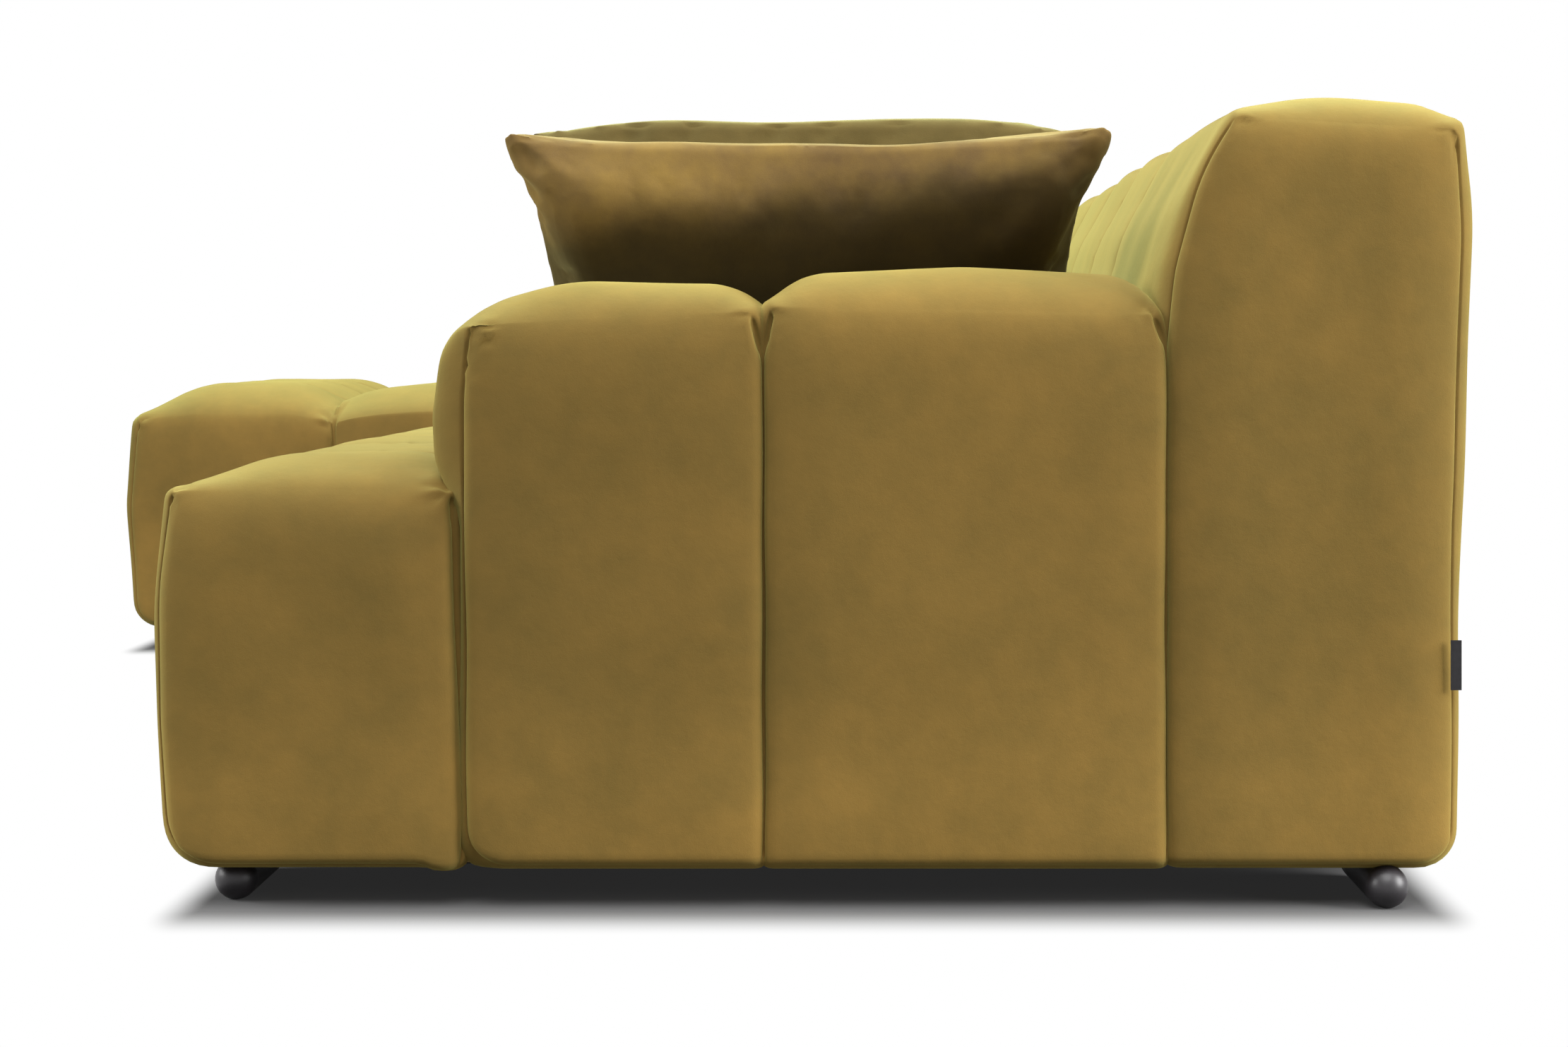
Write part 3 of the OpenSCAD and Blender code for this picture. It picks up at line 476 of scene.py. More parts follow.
def soft(share, power=2.4):
    """Rise from 0 at an edge to 1, fast at first."""
    return 1 - (1 - np.clip(share, 0, 1)) ** power


# Padded blocks

# Steps between points at a block's ends and seams, and at the edges of its outline's sides and top
END_FINE = 0.4 * MM
SEAM_FINE = 2.5 * MM
SIDE_FINE = 2 * MM
TOP_FINE = 0.8 * MM

# How a block rounds into an end, and the swell of the band beside the seam there
TOP_RUN = 0.075
SIDE_RUN = 0.026
END_EDGE = 0.05
LEAST_DROP = 2 * MM
LEAST_SLOPE = 0.1
LEAST_STEEP = 0.05
PUFF = 5 * MM
PUFF_AT = 15 * MM
PUFF_EASE = 0.6

# A sewn channel: shares of the wide rounding and of the crease at the thread, and small puckers
SEAM_ROUND = 0.72
SEAM_CREASE = 0.28
CREASE_REACH = 4 * MM
SEWN_FADE = 20 * MM
PUCKER = 0.7 * MM
PUCKER_REACH = 28 * MM
PUCKER_START = 6 * MM
PUCKER_END = 100 * MM
PUCKER_LENGTHS = (0.019, 0.027, 0.043, 0.071)

# How an end panel's dome rises from its sides, its top and its foot
PANEL_SIDE = 70 * MM
PANEL_SLOW = 0.45
SIDE_QUICK = 13 * MM
SIDE_STEEP = 0.12 / MM
PANEL_TOP = 90 * MM
PANEL_FALL = 0.78
TOP_POWER = 2.6
CROWN_REACH = 17 * MM
TOP_STEEP = PANEL_FALL / CROWN_REACH + (1 - PANEL_FALL) * TOP_POWER / PANEL_TOP
PANEL_FOOT = 70 * MM
FOOT_SLOW = 0.25
FOOT_QUICK = 8 * MM


class End:
    """How a block ends: the outline and the dome of its end panel, the swell of the band beside
    its seam, how far its top and its front round into the panel, a fixed start for that rounding,
    and the reach and the share of the slow curve at the panel's rear."""

    def __init__(self, ring, dome=0.0, puff=0.0, top_run=TOP_RUN, front_run=SIDE_RUN, edge=None,
                 rear=(PANEL_SIDE, PANEL_SLOW)):
        self.ring = ring
        self.dome = dome
        self.puff = puff
        self.top_run = top_run
        self.front_run = front_run
        self.edge = edge
        self.rear = rear

    def rounding(self, ring, end_ring, normal, upward):
        """For each point of a ring, the length over which it rounds into the end's own ring, and
        the start of that rounding, where it is as steep as the panel."""
        run = SIDE_RUN + (self.front_run - SIDE_RUN) * np.clip(-normal[:, 0], 0, 1) ** 2
        run = run + (self.top_run - run) * upward ** 2
        if self.edge:
            return run, self.edge
        if not self.dome:
            return run, END_EDGE
        slope = self.dome * (TOP_STEEP * upward ** 2 + SIDE_STEEP * (1 - upward ** 2))
        drop = np.maximum(np.linalg.norm(end_ring - ring, axis=1), LEAST_DROP)
        swelling = self.puff / PUFF_AT * math.e * (1 - PUFF_EASE * upward) * upward ** 2
        steep = np.maximum(1 / np.maximum(slope, LEAST_SLOPE) - swelling, LEAST_STEEP)
        return run, edge_for(run / drop * steep)


def stations(x0, x1, seams, long):
    """Places along a block, close together at its ends and beside its seams."""
    places = [x0, *seams, x1]
    xs = [x0]
    for k, (a, b) in enumerate(zip(places, places[1:])):
        first = END_FINE if k == 0 else SEAM_FINE
        last = END_FINE if k == len(seams) else SEAM_FINE
        xs += list(graded(a, b, first, last, long)[1:])
    return np.array(xs)


def block(name, band, x0, x1, end0, end1, seams=(), seam_depth=0.0, pitch=0.23, seam_to=10.0,
          coarse=8 * MM, long=15 * MM, lean=-1.0):
    """A padded block: one outline drawn along the sofa's length, with sewn channels as far to the
    rear as seam_to, and two end panels."""
    cuts = cuts_of(parts_of(band, lean), (SIDE_FINE, TOP_FINE), coarse)
    m, n = len(cuts[0]) - 1, len(cuts[1]) - 1
    ring = cut_ring(band, cuts, lean)
    end_rings = [cut_ring(end.ring, cuts, lean) for end in (end0, end1)]
    count = len(ring)
    normal = normals_of(ring)
    arc = along(ring)[:-1]
    xs = stations(x0, x1, seams, long)
    upward = np.maximum(normal[:, 1], 0)
    roundings = [
        end.rounding(ring, end_ring, normal, upward)
        for end, end_ring in zip((end0, end1), end_rings)
    ]
    rings = []
    random = np.random.default_rng(sum(map(ord, name)))
    phases = random.uniform(0, 2 * math.pi, (len(seams) + 1, len(PUCKER_LENGTHS)))
    sewn = np.clip((seam_to - ring[:, 0]) / SEWN_FADE, 0, 1)
    for x in xs:
        at = ring.copy()
        for k, end, away in ((0, end0, x - x0), (1, end1, x1 - x)):
            run, edge = roundings[k]
            at += (end_rings[k] - ring) * dip(away / run, edge)[:, None]
            swell = end.puff * away / PUFF_AT * math.exp(1 - away / PUFF_AT)
            at += normal * (swell * (1 - PUFF_EASE * upward))[:, None]
        into = np.zeros(count)
        for k, seam in enumerate(seams):
            far = abs(x - seam)
            crease = SEAM_CREASE * math.exp(-far / CREASE_REACH)
            into += seam_depth * (SEAM_ROUND * dip(2 * far / pitch) + crease) * sewn
            if far < PUCKER_END:
                fade = math.exp(-far / PUCKER_REACH) * min(1, far / PUCKER_START) * PUCKER
                for j, length in enumerate(PUCKER_LENGTHS):
                    into += fade * np.sin(arc * 2 * math.pi / length + phases[k, j]) * sewn
        at -= np.stack([normal[:, 0] * into, upward * into], axis=1)
        rings.append(np.column_stack([np.full(count, x), at]))
    co = np.vstack(rings)
    faces = []
    for base in range(0, len(co) - count, count):
        for i in range(count):
            j = (i + 1) % count
            faces.append((base + i, base + j, base + count + j, base + count + i))
    for last, end, sign in ((0, end0, -1), (len(xs) - 1, end1, 1)):
        fill, index = panel(rings[last], m, n, end.dome * sign, *end.rear)
        start, base = len(co), last * count
        co = np.vstack([co, fill])
        index = np.where(index < count, index + base, index - count + start)
        for i in range(m):
            for j in range(n):
                quad = (index[i, j], index[i, j + 1], index[i + 1, j + 1], index[i + 1, j])
                faces.append(quad if sign > 0 else quad[::-1])
    shape = Shape(name, co, faces)
    shape.ends = [rings[0], rings[-1]]
    shape.steps = (m, n)
    return shape


def panel(edge, m, n, dome, rear_reach, rear_slow):
    """An end panel stretched inside a ring of m by n steps: its inner points, and the index of
    every grid point, counted from the ring's first point."""
    count = len(edge)
    index = np.zeros((m + 1, n + 1), int)
    index[:, n] = np.arange(m + 1)
    index[m, ::-1] = m + np.arange(n + 1)
    index[::-1, 0] = m + n + np.arange(m + 1)
    index[0, :] = (2 * m + n + np.arange(n + 1)) % count
    index[0, n] = 0
    index[1:m, 1:n] = count + np.arange((m - 1) * (n - 1)).reshape(m - 1, n - 1)
    rear, front = edge[index[:, n]], edge[index[:, 0]]
    low, high = edge[index[0]], edge[index[m]]
    a = along(low, False)
    a = (a / a[-1])[None, 1:n, None]
    b = along(rear, False)
    b = (b / b[-1])[1:m, None, None]
    grid = (
        (1 - b) * low[None, 1:n] + b * high[None, 1:n]
        + (1 - a) * front[1:m, None] + a * rear[1:m, None]
        - (1 - a) * (1 - b) * low[0] - a * (1 - b) * low[n]
        - (1 - a) * b * high[0] - a * b * high[n]
    )
    width = np.linalg.norm(low[0] - low[n])
    tall = np.linalg.norm(low[0] - high[0])
    crown, foot = (1 - b) * tall, b * tall
    rise = 1 - PANEL_FALL * np.exp(-crown / CROWN_REACH)
    rise = rise - (1 - PANEL_FALL) * (1 - soft(crown / PANEL_TOP, TOP_POWER))
    sides = ((a * width, PANEL_SIDE, PANEL_SLOW), ((1 - a) * width, rear_reach, rear_slow))
    for side, reach, slow in sides:
        rise = rise * (slow * soft(side / reach) + (1 - slow) * soft(side / SIDE_QUICK))
    rise = rise * (FOOT_SLOW * soft(foot / PANEL_FOOT) + (1 - FOOT_SLOW) * soft(foot / FOOT_QUICK))
    grid[:, :, 0] += dome * rise[:, :, 0]
    return grid.reshape(-1, 3), index


# A pressed line: how far it acts and where the ridge beside it runs, in widths of it, and how far
# from an end it may lie. Then a seam's depth and width, and the waves of crumpled cloth.
PRESS_ACTS = 6
RIDGE_AT = 2.2
PRESS_REACH = 60 * MM
SEW_DEPTH = 2.4 * MM
SEW_WIDTH = 1.3 * MM
CRUMPLE_WAVES = 9
CRUMPLE_SPREAD = (0.6, 1.7)
CRUMPLE_FOOT = 30 * MM


class Shape:
    """A mesh that is still being worked on."""

    def __init__(self, name, co, faces):
        self.name = name
        self.mesh = bpy.data.meshes.new(name)
        faces = [tuple(int(i) for i in face) for face in faces]
        self.mesh.from_pydata([tuple(p) for p in co], [], faces)
        self.mesh.validate()
        self.mesh.update()

    def read(self):
        count = len(self.mesh.vertices)
        co, normal = np.zeros(count * 3), np.zeros(count * 3)
        self.mesh.vertices.foreach_get("co", co)
        self.mesh.vertex_normals.foreach_get("vector", normal)
        return co.reshape(-1, 3), normal.reshape(-1, 3)

    def write(self, co):
        self.mesh.vertices.foreach_set("co", co.ravel())
        self.mesh.update()

    def press(self, path, depth, width, fade, near_x=None, ridge=0.0):
        """Presses a line into the surface. The path is points (x, y, z), or points (y, z) as seen
        from the end, which act on what lies near to near_x."""
        co, normal = self.read()
        path = np.array(path, float)
        flat = path.shape[1] == 2
        allowed = np.abs(co[:, 0] - near_x) < PRESS_REACH if flat else np.ones(len(co), bool)
        low, high = path.min(0) - PRESS_ACTS * width, path.max(0) + PRESS_ACTS * width
        where = co[:, 1:] if flat else co
        allowed &= ((where > low) & (where < high)).all(1)
        chosen = np.flatnonzero(allowed)
        where = where[chosen]
        lengths = along(path, False)
        best = np.full(len(chosen), 1e9)
        share = np.zeros(len(chosen))
        for k in range(len(path) - 1):
            a, d = path[k], path[k + 1] - path[k]
            t = np.clip(((where - a) @ d) / (d @ d), 0, 1)
            far = np.linalg.norm(where - (a + t[:, None] * d), axis=1)
            closer = far < best
            best[closer] = far[closer]
            here = lengths[k] + t * (lengths[k + 1] - lengths[k])
            share[closer] = (here / lengths[-1])[closer]
        taper = np.ones(len(chosen))
        if fade > 0:
            taper = np.clip(np.minimum(share, 1 - share) / fade, 0, 1)
            taper = taper * taper * (3 - 2 * taper)
        shape = -depth * np.exp(-(best / width) ** 2)
        shape += ridge * np.exp(-((best - RIDGE_AT * width) / width) ** 2)
        co[chosen] += normal[chosen] * (shape * taper)[:, None]
        self.write(co)

    def sew(self, which):
        """Presses the seams of an end panel: its front and rear edges, up to the tucks."""
        m, n = self.steps
        ring = self.ends[which]
        for path in (ring[:m + 1], ring[m + n:2 * m + n + 1]):
            self.press(path, SEW_DEPTH, SEW_WIDTH, fade=0.02)

    def folds(self, near_x, folds, ridge=0.3, fade=0.3):
        """Creases in the surface near to near_x. Each is a depth and a width in mm, then points
        (y, z) in mm. The ridge is a share of the depth."""
        for depth, width, *points in folds:
            points = np.array(points) * MM
            self.press(points, depth * MM, width * MM, fade, near_x, ridge * depth * MM)

    def crumple(self, amount, length, seed):
        """Soft uneven swelling over the whole surface."""
        co, normal = self.read()
        random = np.random.default_rng(seed)
        swell = np.zeros(len(co))
        for _ in range(CRUMPLE_WAVES):
            direction = random.normal(size=3)
            direction /= np.linalg.norm(direction)
            size = length * random.uniform(*CRUMPLE_SPREAD)
            swell += np.sin(co @ direction * 2 * math.pi / size + random.uniform(0, 2 * math.pi))
        bottom = np.clip((co[:, 2] - co[:, 2].min()) / CRUMPLE_FOOT, 0, 1)
        co += normal * (amount * swell / math.sqrt(CRUMPLE_WAVES) * bottom)[:, None]
        self.write(co)

    def done(self, slot, *nodes, body="sofa", fill=0.8):
        """Adds the finished piece, which stands for the given CAD pieces."""
        self.mesh.polygons.foreach_set("use_smooth", [True] * len(self.mesh.polygons))
        obj = bpy.data.objects.new(self.name, self.mesh)
        scene.collection.objects.link(obj)
        obj.data.materials.append(materials[slot])
        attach(obj, body)
        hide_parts(*nodes)

    def upholster(self, crumple, sewn=(), near_x=None, folds=()):
        """Sews, creases and crumples a block, which stands for its cover and its foam. The crumple
        is an amount, a length and a seed."""
        for which in sewn:
            self.sew(which)
        self.folds(near_x, folds)
        self.crumple(*crumple)
        self.done("velvet", f"{self.name}_cover", f"{self.name}_foam")


def box_of(node):
    low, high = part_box(node)
    return np.array(low), np.array(high)


# Corners of each outline, from the lower rear corner round over the top: shares of the CAD box's
# depth and height, and the radius as a share of its height. A band is the outline along the sofa,
# and a face the outline of its end panel.
ROLL_BAND = [
    (1, 0, 0.02), (1, 0.905, 0.03), (0.92, 0.968, 0.06), (0.76, 0.995, 0.3), (0.33, 0.99, 0.5),
    (0.016, 0.912, 0.02), (-0.018, 0.6, 0.8), (0.015, 0, 0.1),
]
ROLL_FACE = [
    (0.99, -0.014, 0.035), (1.0, 0.12, 0.4), (0.974, 0.56, 0.8), (0.959, 0.907, 0.01),
    (0.036, 0.909, 0.01), (-0.004, 0.66, 0.9), (0, 0.35, 0.9), (0.03, 0, 0.13), (0.86, 0, 0.02),
    (0.9, -0.016, 0.02),
]
ARM_FRONT_BAND = [
    (1, 0, 0.01), (1, 0.95, 0.03), (0.9, 0.997, 0.13), (0.37, 1, 0.4), (0.11, 0.96, 0.2),
    (0, 0.893, 0.12), (-0.03, 0.77, 0.15), (-0.024, 0.69, 0.1), (0.07, 0.58, 0.08),
    (0.06, 0, 0.03),
]
ARM_FRONT_FACE = [
    (1, 0, 0.01), (1, 0.86, 0.2), (0.962, 0.947, 0.008), (0.084, 0.924, 0.008), (0.068, 0.8, 0.5),
    (0.068, 0.62, 0.5), (0.083, 0, 0.07),
]
ARM_REAR_BAND = [
    (1, 0, 0.01), (1, 0.935, 0.03), (0.92, 1, 0.1), (0.5, 1.013, 0.6), (0.1, 1.002, 0.12),
    (0, 0.95, 0.02), (0, 0, 0.01),
]
ARM_REAR_FACE = [
    (1, 0, 0.01), (1, 0.87, 0.15), (0.97, 0.931, 0.008), (0.016, 0.943, 0.008),
    (0, 0.865, 0.15), (0, 0, 0.01),
]
BACK_BAND = [
    (0.958, 0, 0.045), (0.965, 0.3, 0.8), (1.02, 0.86, 0.6), (0.985, 0.985, 0.025),
    (0.87, 1.008, 0.08), (0.53, 1.02, 0.4), (0.22, 0.998, 0.06), (0.03, 0.86, 0.25),
    (-0.085, 0.7, 0.3), (-0.085, 0.3, 0.3), (0, 0, 0.02),
]
BACK_FACE = [
    (0.945, 0, 0.045), (0.95, 0.45, 0.8), (0.985, 0.83, 0.5), (0.966, 0.966, 0.008),
    (0.231, 0.984, 0.008), (0.113, 0.912, 0.3), (0.03, 0.78, 0.2), (0, 0.67, 0.1), (0, 0, 0.01),
]
CHAISE_BAND = [
    (1, 0, 0.02), (1.02, 0.9, 0.1), (0.79, 1, 0.4), (0.3, 1, 0.4), (0.025, 0.865, 0.06),
    (-0.01, 0.5, 0.6), (0.04, 0, 0.1),
]
CHAISE_FACE = [
    (1, 0, 0.02), (1, 0.5, 0.8), (0.985, 0.84, 0.01), (0.8, 0.87, 0.2), (0.3, 0.87, 0.2),
    (0.055, 0.845, 0.01), (0.012, 0.48, 0.8), (0.05, 0, 0.11),
]

# Creases beside the tucks of the near end panels: depth, width, then points (y, z), all in mm
ROLL_FOLDS = [
    (3, 3, (-30, 386), (-37, 389), (-46, 391), (-56, 389)),
    (2.5, 3, (-30, 385), (-38, 383), (-50, 378), (-60, 371)),
    (2.5, 3, (-30, 383), (-33, 372), (-38, 360)),
    (2, 3, (-30, 381), (-30, 367), (-33, 350)),
    (2.5, 2.5, (-291, 386), (-286, 389), (-277, 391)),
    (2, 2.5, (-292, 385), (-289, 375), (-285, 366)),
]
ARM_FRONT_FOLDS = [
    (4, 3, (-15, 538), (-9, 533), (0, 527), (12, 523)),
    (3, 3, (-15, 538), (-11, 525), (-7, 516)),
    (2.5, 3, (-15, 539), (-1, 538), (13, 541)),
    (2.5, 3, (-18, 506), (-12, 500), (-8, 493)),
    (2, 3, (-18, 520), (-12, 517), (-4, 510)),
    (3, 2.5, (245, 554), (249, 541), (253, 525), (257, 510)),
    (2, 3, (244, 553), (239, 549), (231, 546)),
]
ARM_REAR_FOLDS = [
    (3, 2.5, (264, 558), (262, 533), (258, 512)),
    (2, 3, (265, 557), (270, 549), (278, 545)),
    (2, 3, (265, 553), (268, 540), (272, 530)),
    (3, 2.5, (612, 568), (618, 553), (625, 533), (629, 519)),
    (2, 3, (610, 566), (605, 554), (605, 542)),
    (1.5, 3, (611, 563), (611, 549), (616, 533)),
]
BACK_FOLDS = [
    (2.5, 2.5, (898, 722), (895, 717), (892, 707)),
    (2, 2.5, (899, 721), (898, 707), (897, 692)),
    (2, 2.5, (897, 722), (888, 721), (880, 717)),
    (2.5, 3, (696, 732), (704, 728), (712, 721)),
    (2, 3, (695, 730), (699, 721), (701, 711)),
    (1.5, 3, (670, 689), (678, 683), (684, 677)),
]
CHAISE_FOLDS = [
    (4, 4, (-581, 409), (-568, 395), (-559, 378)),
    (3, 4, (-566, 416), (-561, 399), (-558, 382)),
    (3, 4, (-585, 387), (-571, 382), (-559, 375)),
    (3, 4, (-568, 358), (-562, 348), (-559, 336)),
    (2.5, 4, (-891, 387), (-881, 392), (-869, 395)),
    (2.5, 4, (-891, 385), (-884, 373), (-879, 361)),
]

# The domes of the end panels, the depths of the seams and valleys, and the channels
DOME = 13 * MM
ROLL_DOME = 20 * MM
BACK_DOME = 17 * MM
SEAT_SEAM = 9 * MM
BACK_SEAM = 12 * MM
ROW_VALLEY = 36 * MM
SEAT_CHANNELS = 9
BACK_LEAN = -0.35
BACK_FIRST = 375 * MM
BACK_CHANNELS = 5
BACK_SEWN = 0.98

# How far the outline is drawn in at its sides and lowered where two blocks meet
SEAT_JOINT = (4 * MM, 14 * MM)
BACK_JOINT = (9 * MM, BACK_SEAM)


def outline_in(node, corners, y_low=None):
    """An outline fitted to the depth and height of a CAD piece."""
    low, high = box_of(node)
    if y_low is not None:
        low[1] = y_low
    ring = rounded(corners, high[1] - low[1], high[2] - low[2])
    return smoothed(ring, 4 * MM) + low[1:]


def rows_in(node, rows, lower=0.0, valley=ROW_VALLEY):
    """A crowned outline fitted to a CAD piece, or somewhat lower than it."""
    low, high = box_of(node)
    ring = crowned(high[1] - low[1], high[2] - low[2] - lower, rows, valley)
    return smoothed(ring, 5 * MM) + low[1:]


arm_x = box_of("arm_front_cover")[0][0]
split_x = box_of("front_roll_cover")[0][0]
end_x = box_of("front_roll_cover")[1][0]
near_x = end_x - DOME
far_x = box_of("chaise_front_cover")[0][0] + DOME
CHANNEL = (arm_x - split_x) / SEAT_CHANNELS
sofa_seams = [arm_x - k * CHANNEL for k in range(SEAT_CHANNELS - 1, -1, -1)]
chaise_seams = [far_x - DOME + k * CHANNEL for k in (1, 2, 3)]


def front_roll():
    x1 = end_x - ROLL_DOME
    band = outline_in("front_roll_cover", ROLL_BAND)
    face = End(outline_in("front_roll_cover", ROLL_FACE), ROLL_DOME, PUFF, 100 * MM)
    joint = End(inset(band, *SEAT_JOINT))
    shape = block("front_roll", band, split_x, x1, joint, face, sofa_seams, SEAT_SEAM, CHANNEL)
    shape.upholster((1.2 * MM, 0.22, 11), (1,), x1, ROLL_FOLDS)


def seat():
    low, high = box_of("seat_cover")
    band = rows_in("seat_cover", 2)
    end = End(inset(band, *SEAT_JOINT))
    shape = block("seat", band, low[0], high[0], end, end, sofa_seams[:-1], SEAT_SEAM, CHANNEL)
    shape.upholster((1.2 * MM, 0.2, 12))


def arm_block(name, band_corners, face_corners, folds, seed, *more_nodes):
    """One of the two rolls of the armrest."""
    node = f"{name}_cover"
    band = outline_in(node, band_corners)
    face = End(outline_in(node, face_corners), DOME, PUFF)
    shape = block(name, band, arm_x + DOME, near_x, face, face, coarse=6 * MM, long=9 * MM)
    shape.sew(0)
    shape.sew(1)
    shape.folds(near_x, folds)
    shape.crumple(1.0 * MM, 0.18, seed)
    shape.done("velvet", node, *more_nodes)


def back_outlines(node, dome, **face):
    """The outline, the two ends and the rear limit of the channels of one part of the back."""
    low, high = box_of(node)
    y_low = box_of("arm_rear_cover")[1][1]
    band = outline_in(node, BACK_BAND, y_low)
    panelled = End(outline_in(node, BACK_FACE, y_low), dome, PUFF, **face)
    joint = End(inset(band, *BACK_JOINT))
    return band, panelled, joint, low[1] + BACK_SEWN * (high[1] - low[1])


def back():
    x1 = end_x - BACK_DOME
    band, face, joint, seam_to = back_outlines(
        "back_cover", BACK_DOME, front_run=125 * MM, rear=(75 * MM, 0.85)
    )
    pitch = (arm_x - BACK_FIRST - split_x) / BACK_CHANNELS
    seams = [arm_x - BACK_FIRST - k * pitch for k in range(BACK_CHANNELS - 1, -1, -1)]
    shape = block(
        "back", band, split_x, x1, joint, face, seams, BACK_SEAM, pitch, seam_to, lean=BACK_LEAN
    )
    shape.upholster((1.3 * MM, 0.25, 15), (1,), x1, BACK_FOLDS)


def chaise_front():
    x1 = box_of("chaise_front_cover")[1][0] - DOME
    band = outline_in("chaise_front_cover", CHAISE_BAND)
    face = End(outline_in("chaise_front_cover", CHAISE_FACE), DOME, PUFF, 140 * MM)
    shape = block("chaise_front", band, far_x, x1, face, face, chaise_seams, SEAT_SEAM, CHANNEL)
    shape.upholster((1.2 * MM, 0.22, 16), (0, 1), x1, CHAISE_FOLDS)


def chaise_seat():
    x1 = box_of("chaise_seat_cover")[1][0] - DOME
    band = rows_in("chaise_seat_cover", 3)
    ring = rows_in("chaise_seat_cover", 3, lower=47 * MM, valley=22 * MM)
    face = End(ring, 6 * MM, PUFF, 150 * MM, edge=0.4)
    shape = block("chaise_seat", band, far_x, x1, face, face, chaise_seams, SEAT_SEAM, CHANNEL)
    shape.upholster((1.2 * MM, 0.2, 17))


def chaise_back():
    x1 = box_of("chaise_back_cover")[1][0]
    band, face, joint, seam_to = back_outlines("chaise_back_cover", DOME)
    pitch = 4 * CHANNEL / 3
    seams = [far_x - DOME + k * pitch for k in (1, 2)]
    shape = block(
        "chaise_back", band, far_x, x1, face, joint, seams, BACK_SEAM, pitch, seam_to,
        lean=BACK_LEAN,
    )
    shape.upholster((1.3 * MM, 0.25, 18), (0,))


front_roll()
seat()
arm_block("arm_front", ARM_FRONT_BAND, ARM_FRONT_FACE, ARM_FRONT_FOLDS, 13)
arm_block("arm_rear", ARM_REAR_BAND, ARM_REAR_FACE, ARM_REAR_FOLDS, 14, "arm_foam")
back()
chaise_front()
chaise_seat()
chaise_back()


# Scatter cushions

LEAN = {"near": math.radians(38), "far": math.radians(36)}
CUSHION_WIDTH = {"near": 597 * MM, "far": 584 * MM}

# How far the sewn edge is drawn in at its sides, its top and its bottom, and along what curve
SIDE_DRAW = {"near": 30 * MM, "far": 43 * MM}
SIDE_CURVE = 1.7
TOP_DRAW = {"near": 16 * MM, "far": -19 * MM}
TOP_CURVE = {"near": 2.6, "far": 5}
LOW_DRAW = 4 * MM
EAR = 16 * MM

# A cushion's thickness, the share of it before it is blown up, half that of its sewn edge, and
# how far in from that edge it is nearly full; then where its points and its piping lie
CUSHION_FULL = 120 * MM
UNBLOWN = 0.86
RIM = 4 * MM
SWELL = 47 * MM
RIM_SHARES = (1, 0.985, 0.955, 0.91, 0.85, 0.77, 0.68, 0.57, 0.44, 0.3, 0.15)
PIPING_SHARE = 0.985
PIPING_AT = 3 * MM

# The cloth that blows a cushion up, and the most that it may move
VOXEL = 6 * MM
PRESSURE = 4.0
CLOTH_MASS = 0.3
STRETCH_STIFFNESS = 12
SHEAR_STIFFNESS = 6
BEND_STIFFNESS = 0.4
CLOTH_SHRINK = -0.03
CLOTH_FRAMES = 20
MOST_BLOWN = 9 * MM

# Folds of a cushion's outer face, in mm: depth, width, then points across and up from its middle
CUSHION_FOLDS = {
    "near": [
        (5, 9, (-290, 186), (-275, 178), (-256, 164)),
        (3.5, 8, (-291, 152), (-278, 144), (-262, 132)),
        (2.5, 7, (-286, 120), (-272, 111), (-258, 100)),
        (7, 15, (286, 184), (266, 174), (240, 156)),
        (3.5, 9, (289, 154), (277, 146), (258, 134)),
        (2, 14, (-44, 166), (-68, 140), (-95, 110)),
        (2.5, 15, (28, 166), (-4, 134), (-42, 92)),
        (2, 13, (92, 166), (56, 142), (17, 117)),
        (4, 17, (232, 180), (200, 142), (158, 94)),
        (2, 12, (-150, 172), (-176, 146), (-200, 110)),
    ],
    "far": [
        (3.5, 7, (-8, 216), (-24, 203), (-48, 188)),
        (3, 7, (-96, 216), (-112, 204), (-132, 190)),
        (3.5, 8, (-148, 216), (-168, 203), (-192, 188)),
        (2.5, 7, (44, 216), (30, 204), (10, 192)),
        (2.5, 9, (120, 216), (100, 202), (76, 190)),
        (4, 9, (-284, 196), (-270, 186), (-252, 172)),
        (4, 9, (284, 196), (270, 186), (252, 172)),
    ],
}


def cushion_place(which, roll, rise):
    """From the cushion's own plane, with its thickness along x, to its place on the sofa."""
    low, high = box_of(f"{which}_cushion_cover")
    middle = Matrix.Translation(Vector((low + high) / 2))
    turn = Matrix.Rotation(LEAN[which], 4, "Y") @ Matrix.Rotation(roll, 4, "X")
    return middle @ turn @ Matrix.Translation((0, 0, rise))


def cushion_rim(which, count, height):
    """The sewn edge across and up, drawn in between its rounded corners."""
    half = np.array([CUSHION_WIDTH[which] / 2, height / 2])
    rim = []
    for side in range(4):
        for k in range(count):
            u = 2 * k / count - 1
            low_in = LOW_DRAW * (1 - u * u)
            top_in = TOP_DRAW[which] * (1 - abs(u) ** TOP_CURVE[which])
            side_in = SIDE_DRAW[which] * (1 - u * u) ** SIDE_CURVE
            y, z = ((u, -1), (1, u), (-u, 1), (-1, -u))[side] * half
            past = np.maximum(np.abs((y, z)) - half + EAR, 0)
            if past.min() > 0:
                y, z = np.sign((y, z)) * (half - EAR + past / np.linalg.norm(past) * EAR)
            inward = np.sign(y) * side_in * (side % 2)
            rim.append((y - inward, z + (low_in, 0, -top_in, 0)[side]))
    return np.array(rim)


def evaluated(obj):
    """The object with its modifiers applied."""
    return obj.evaluated_get(bpy.context.evaluated_depsgraph_get())


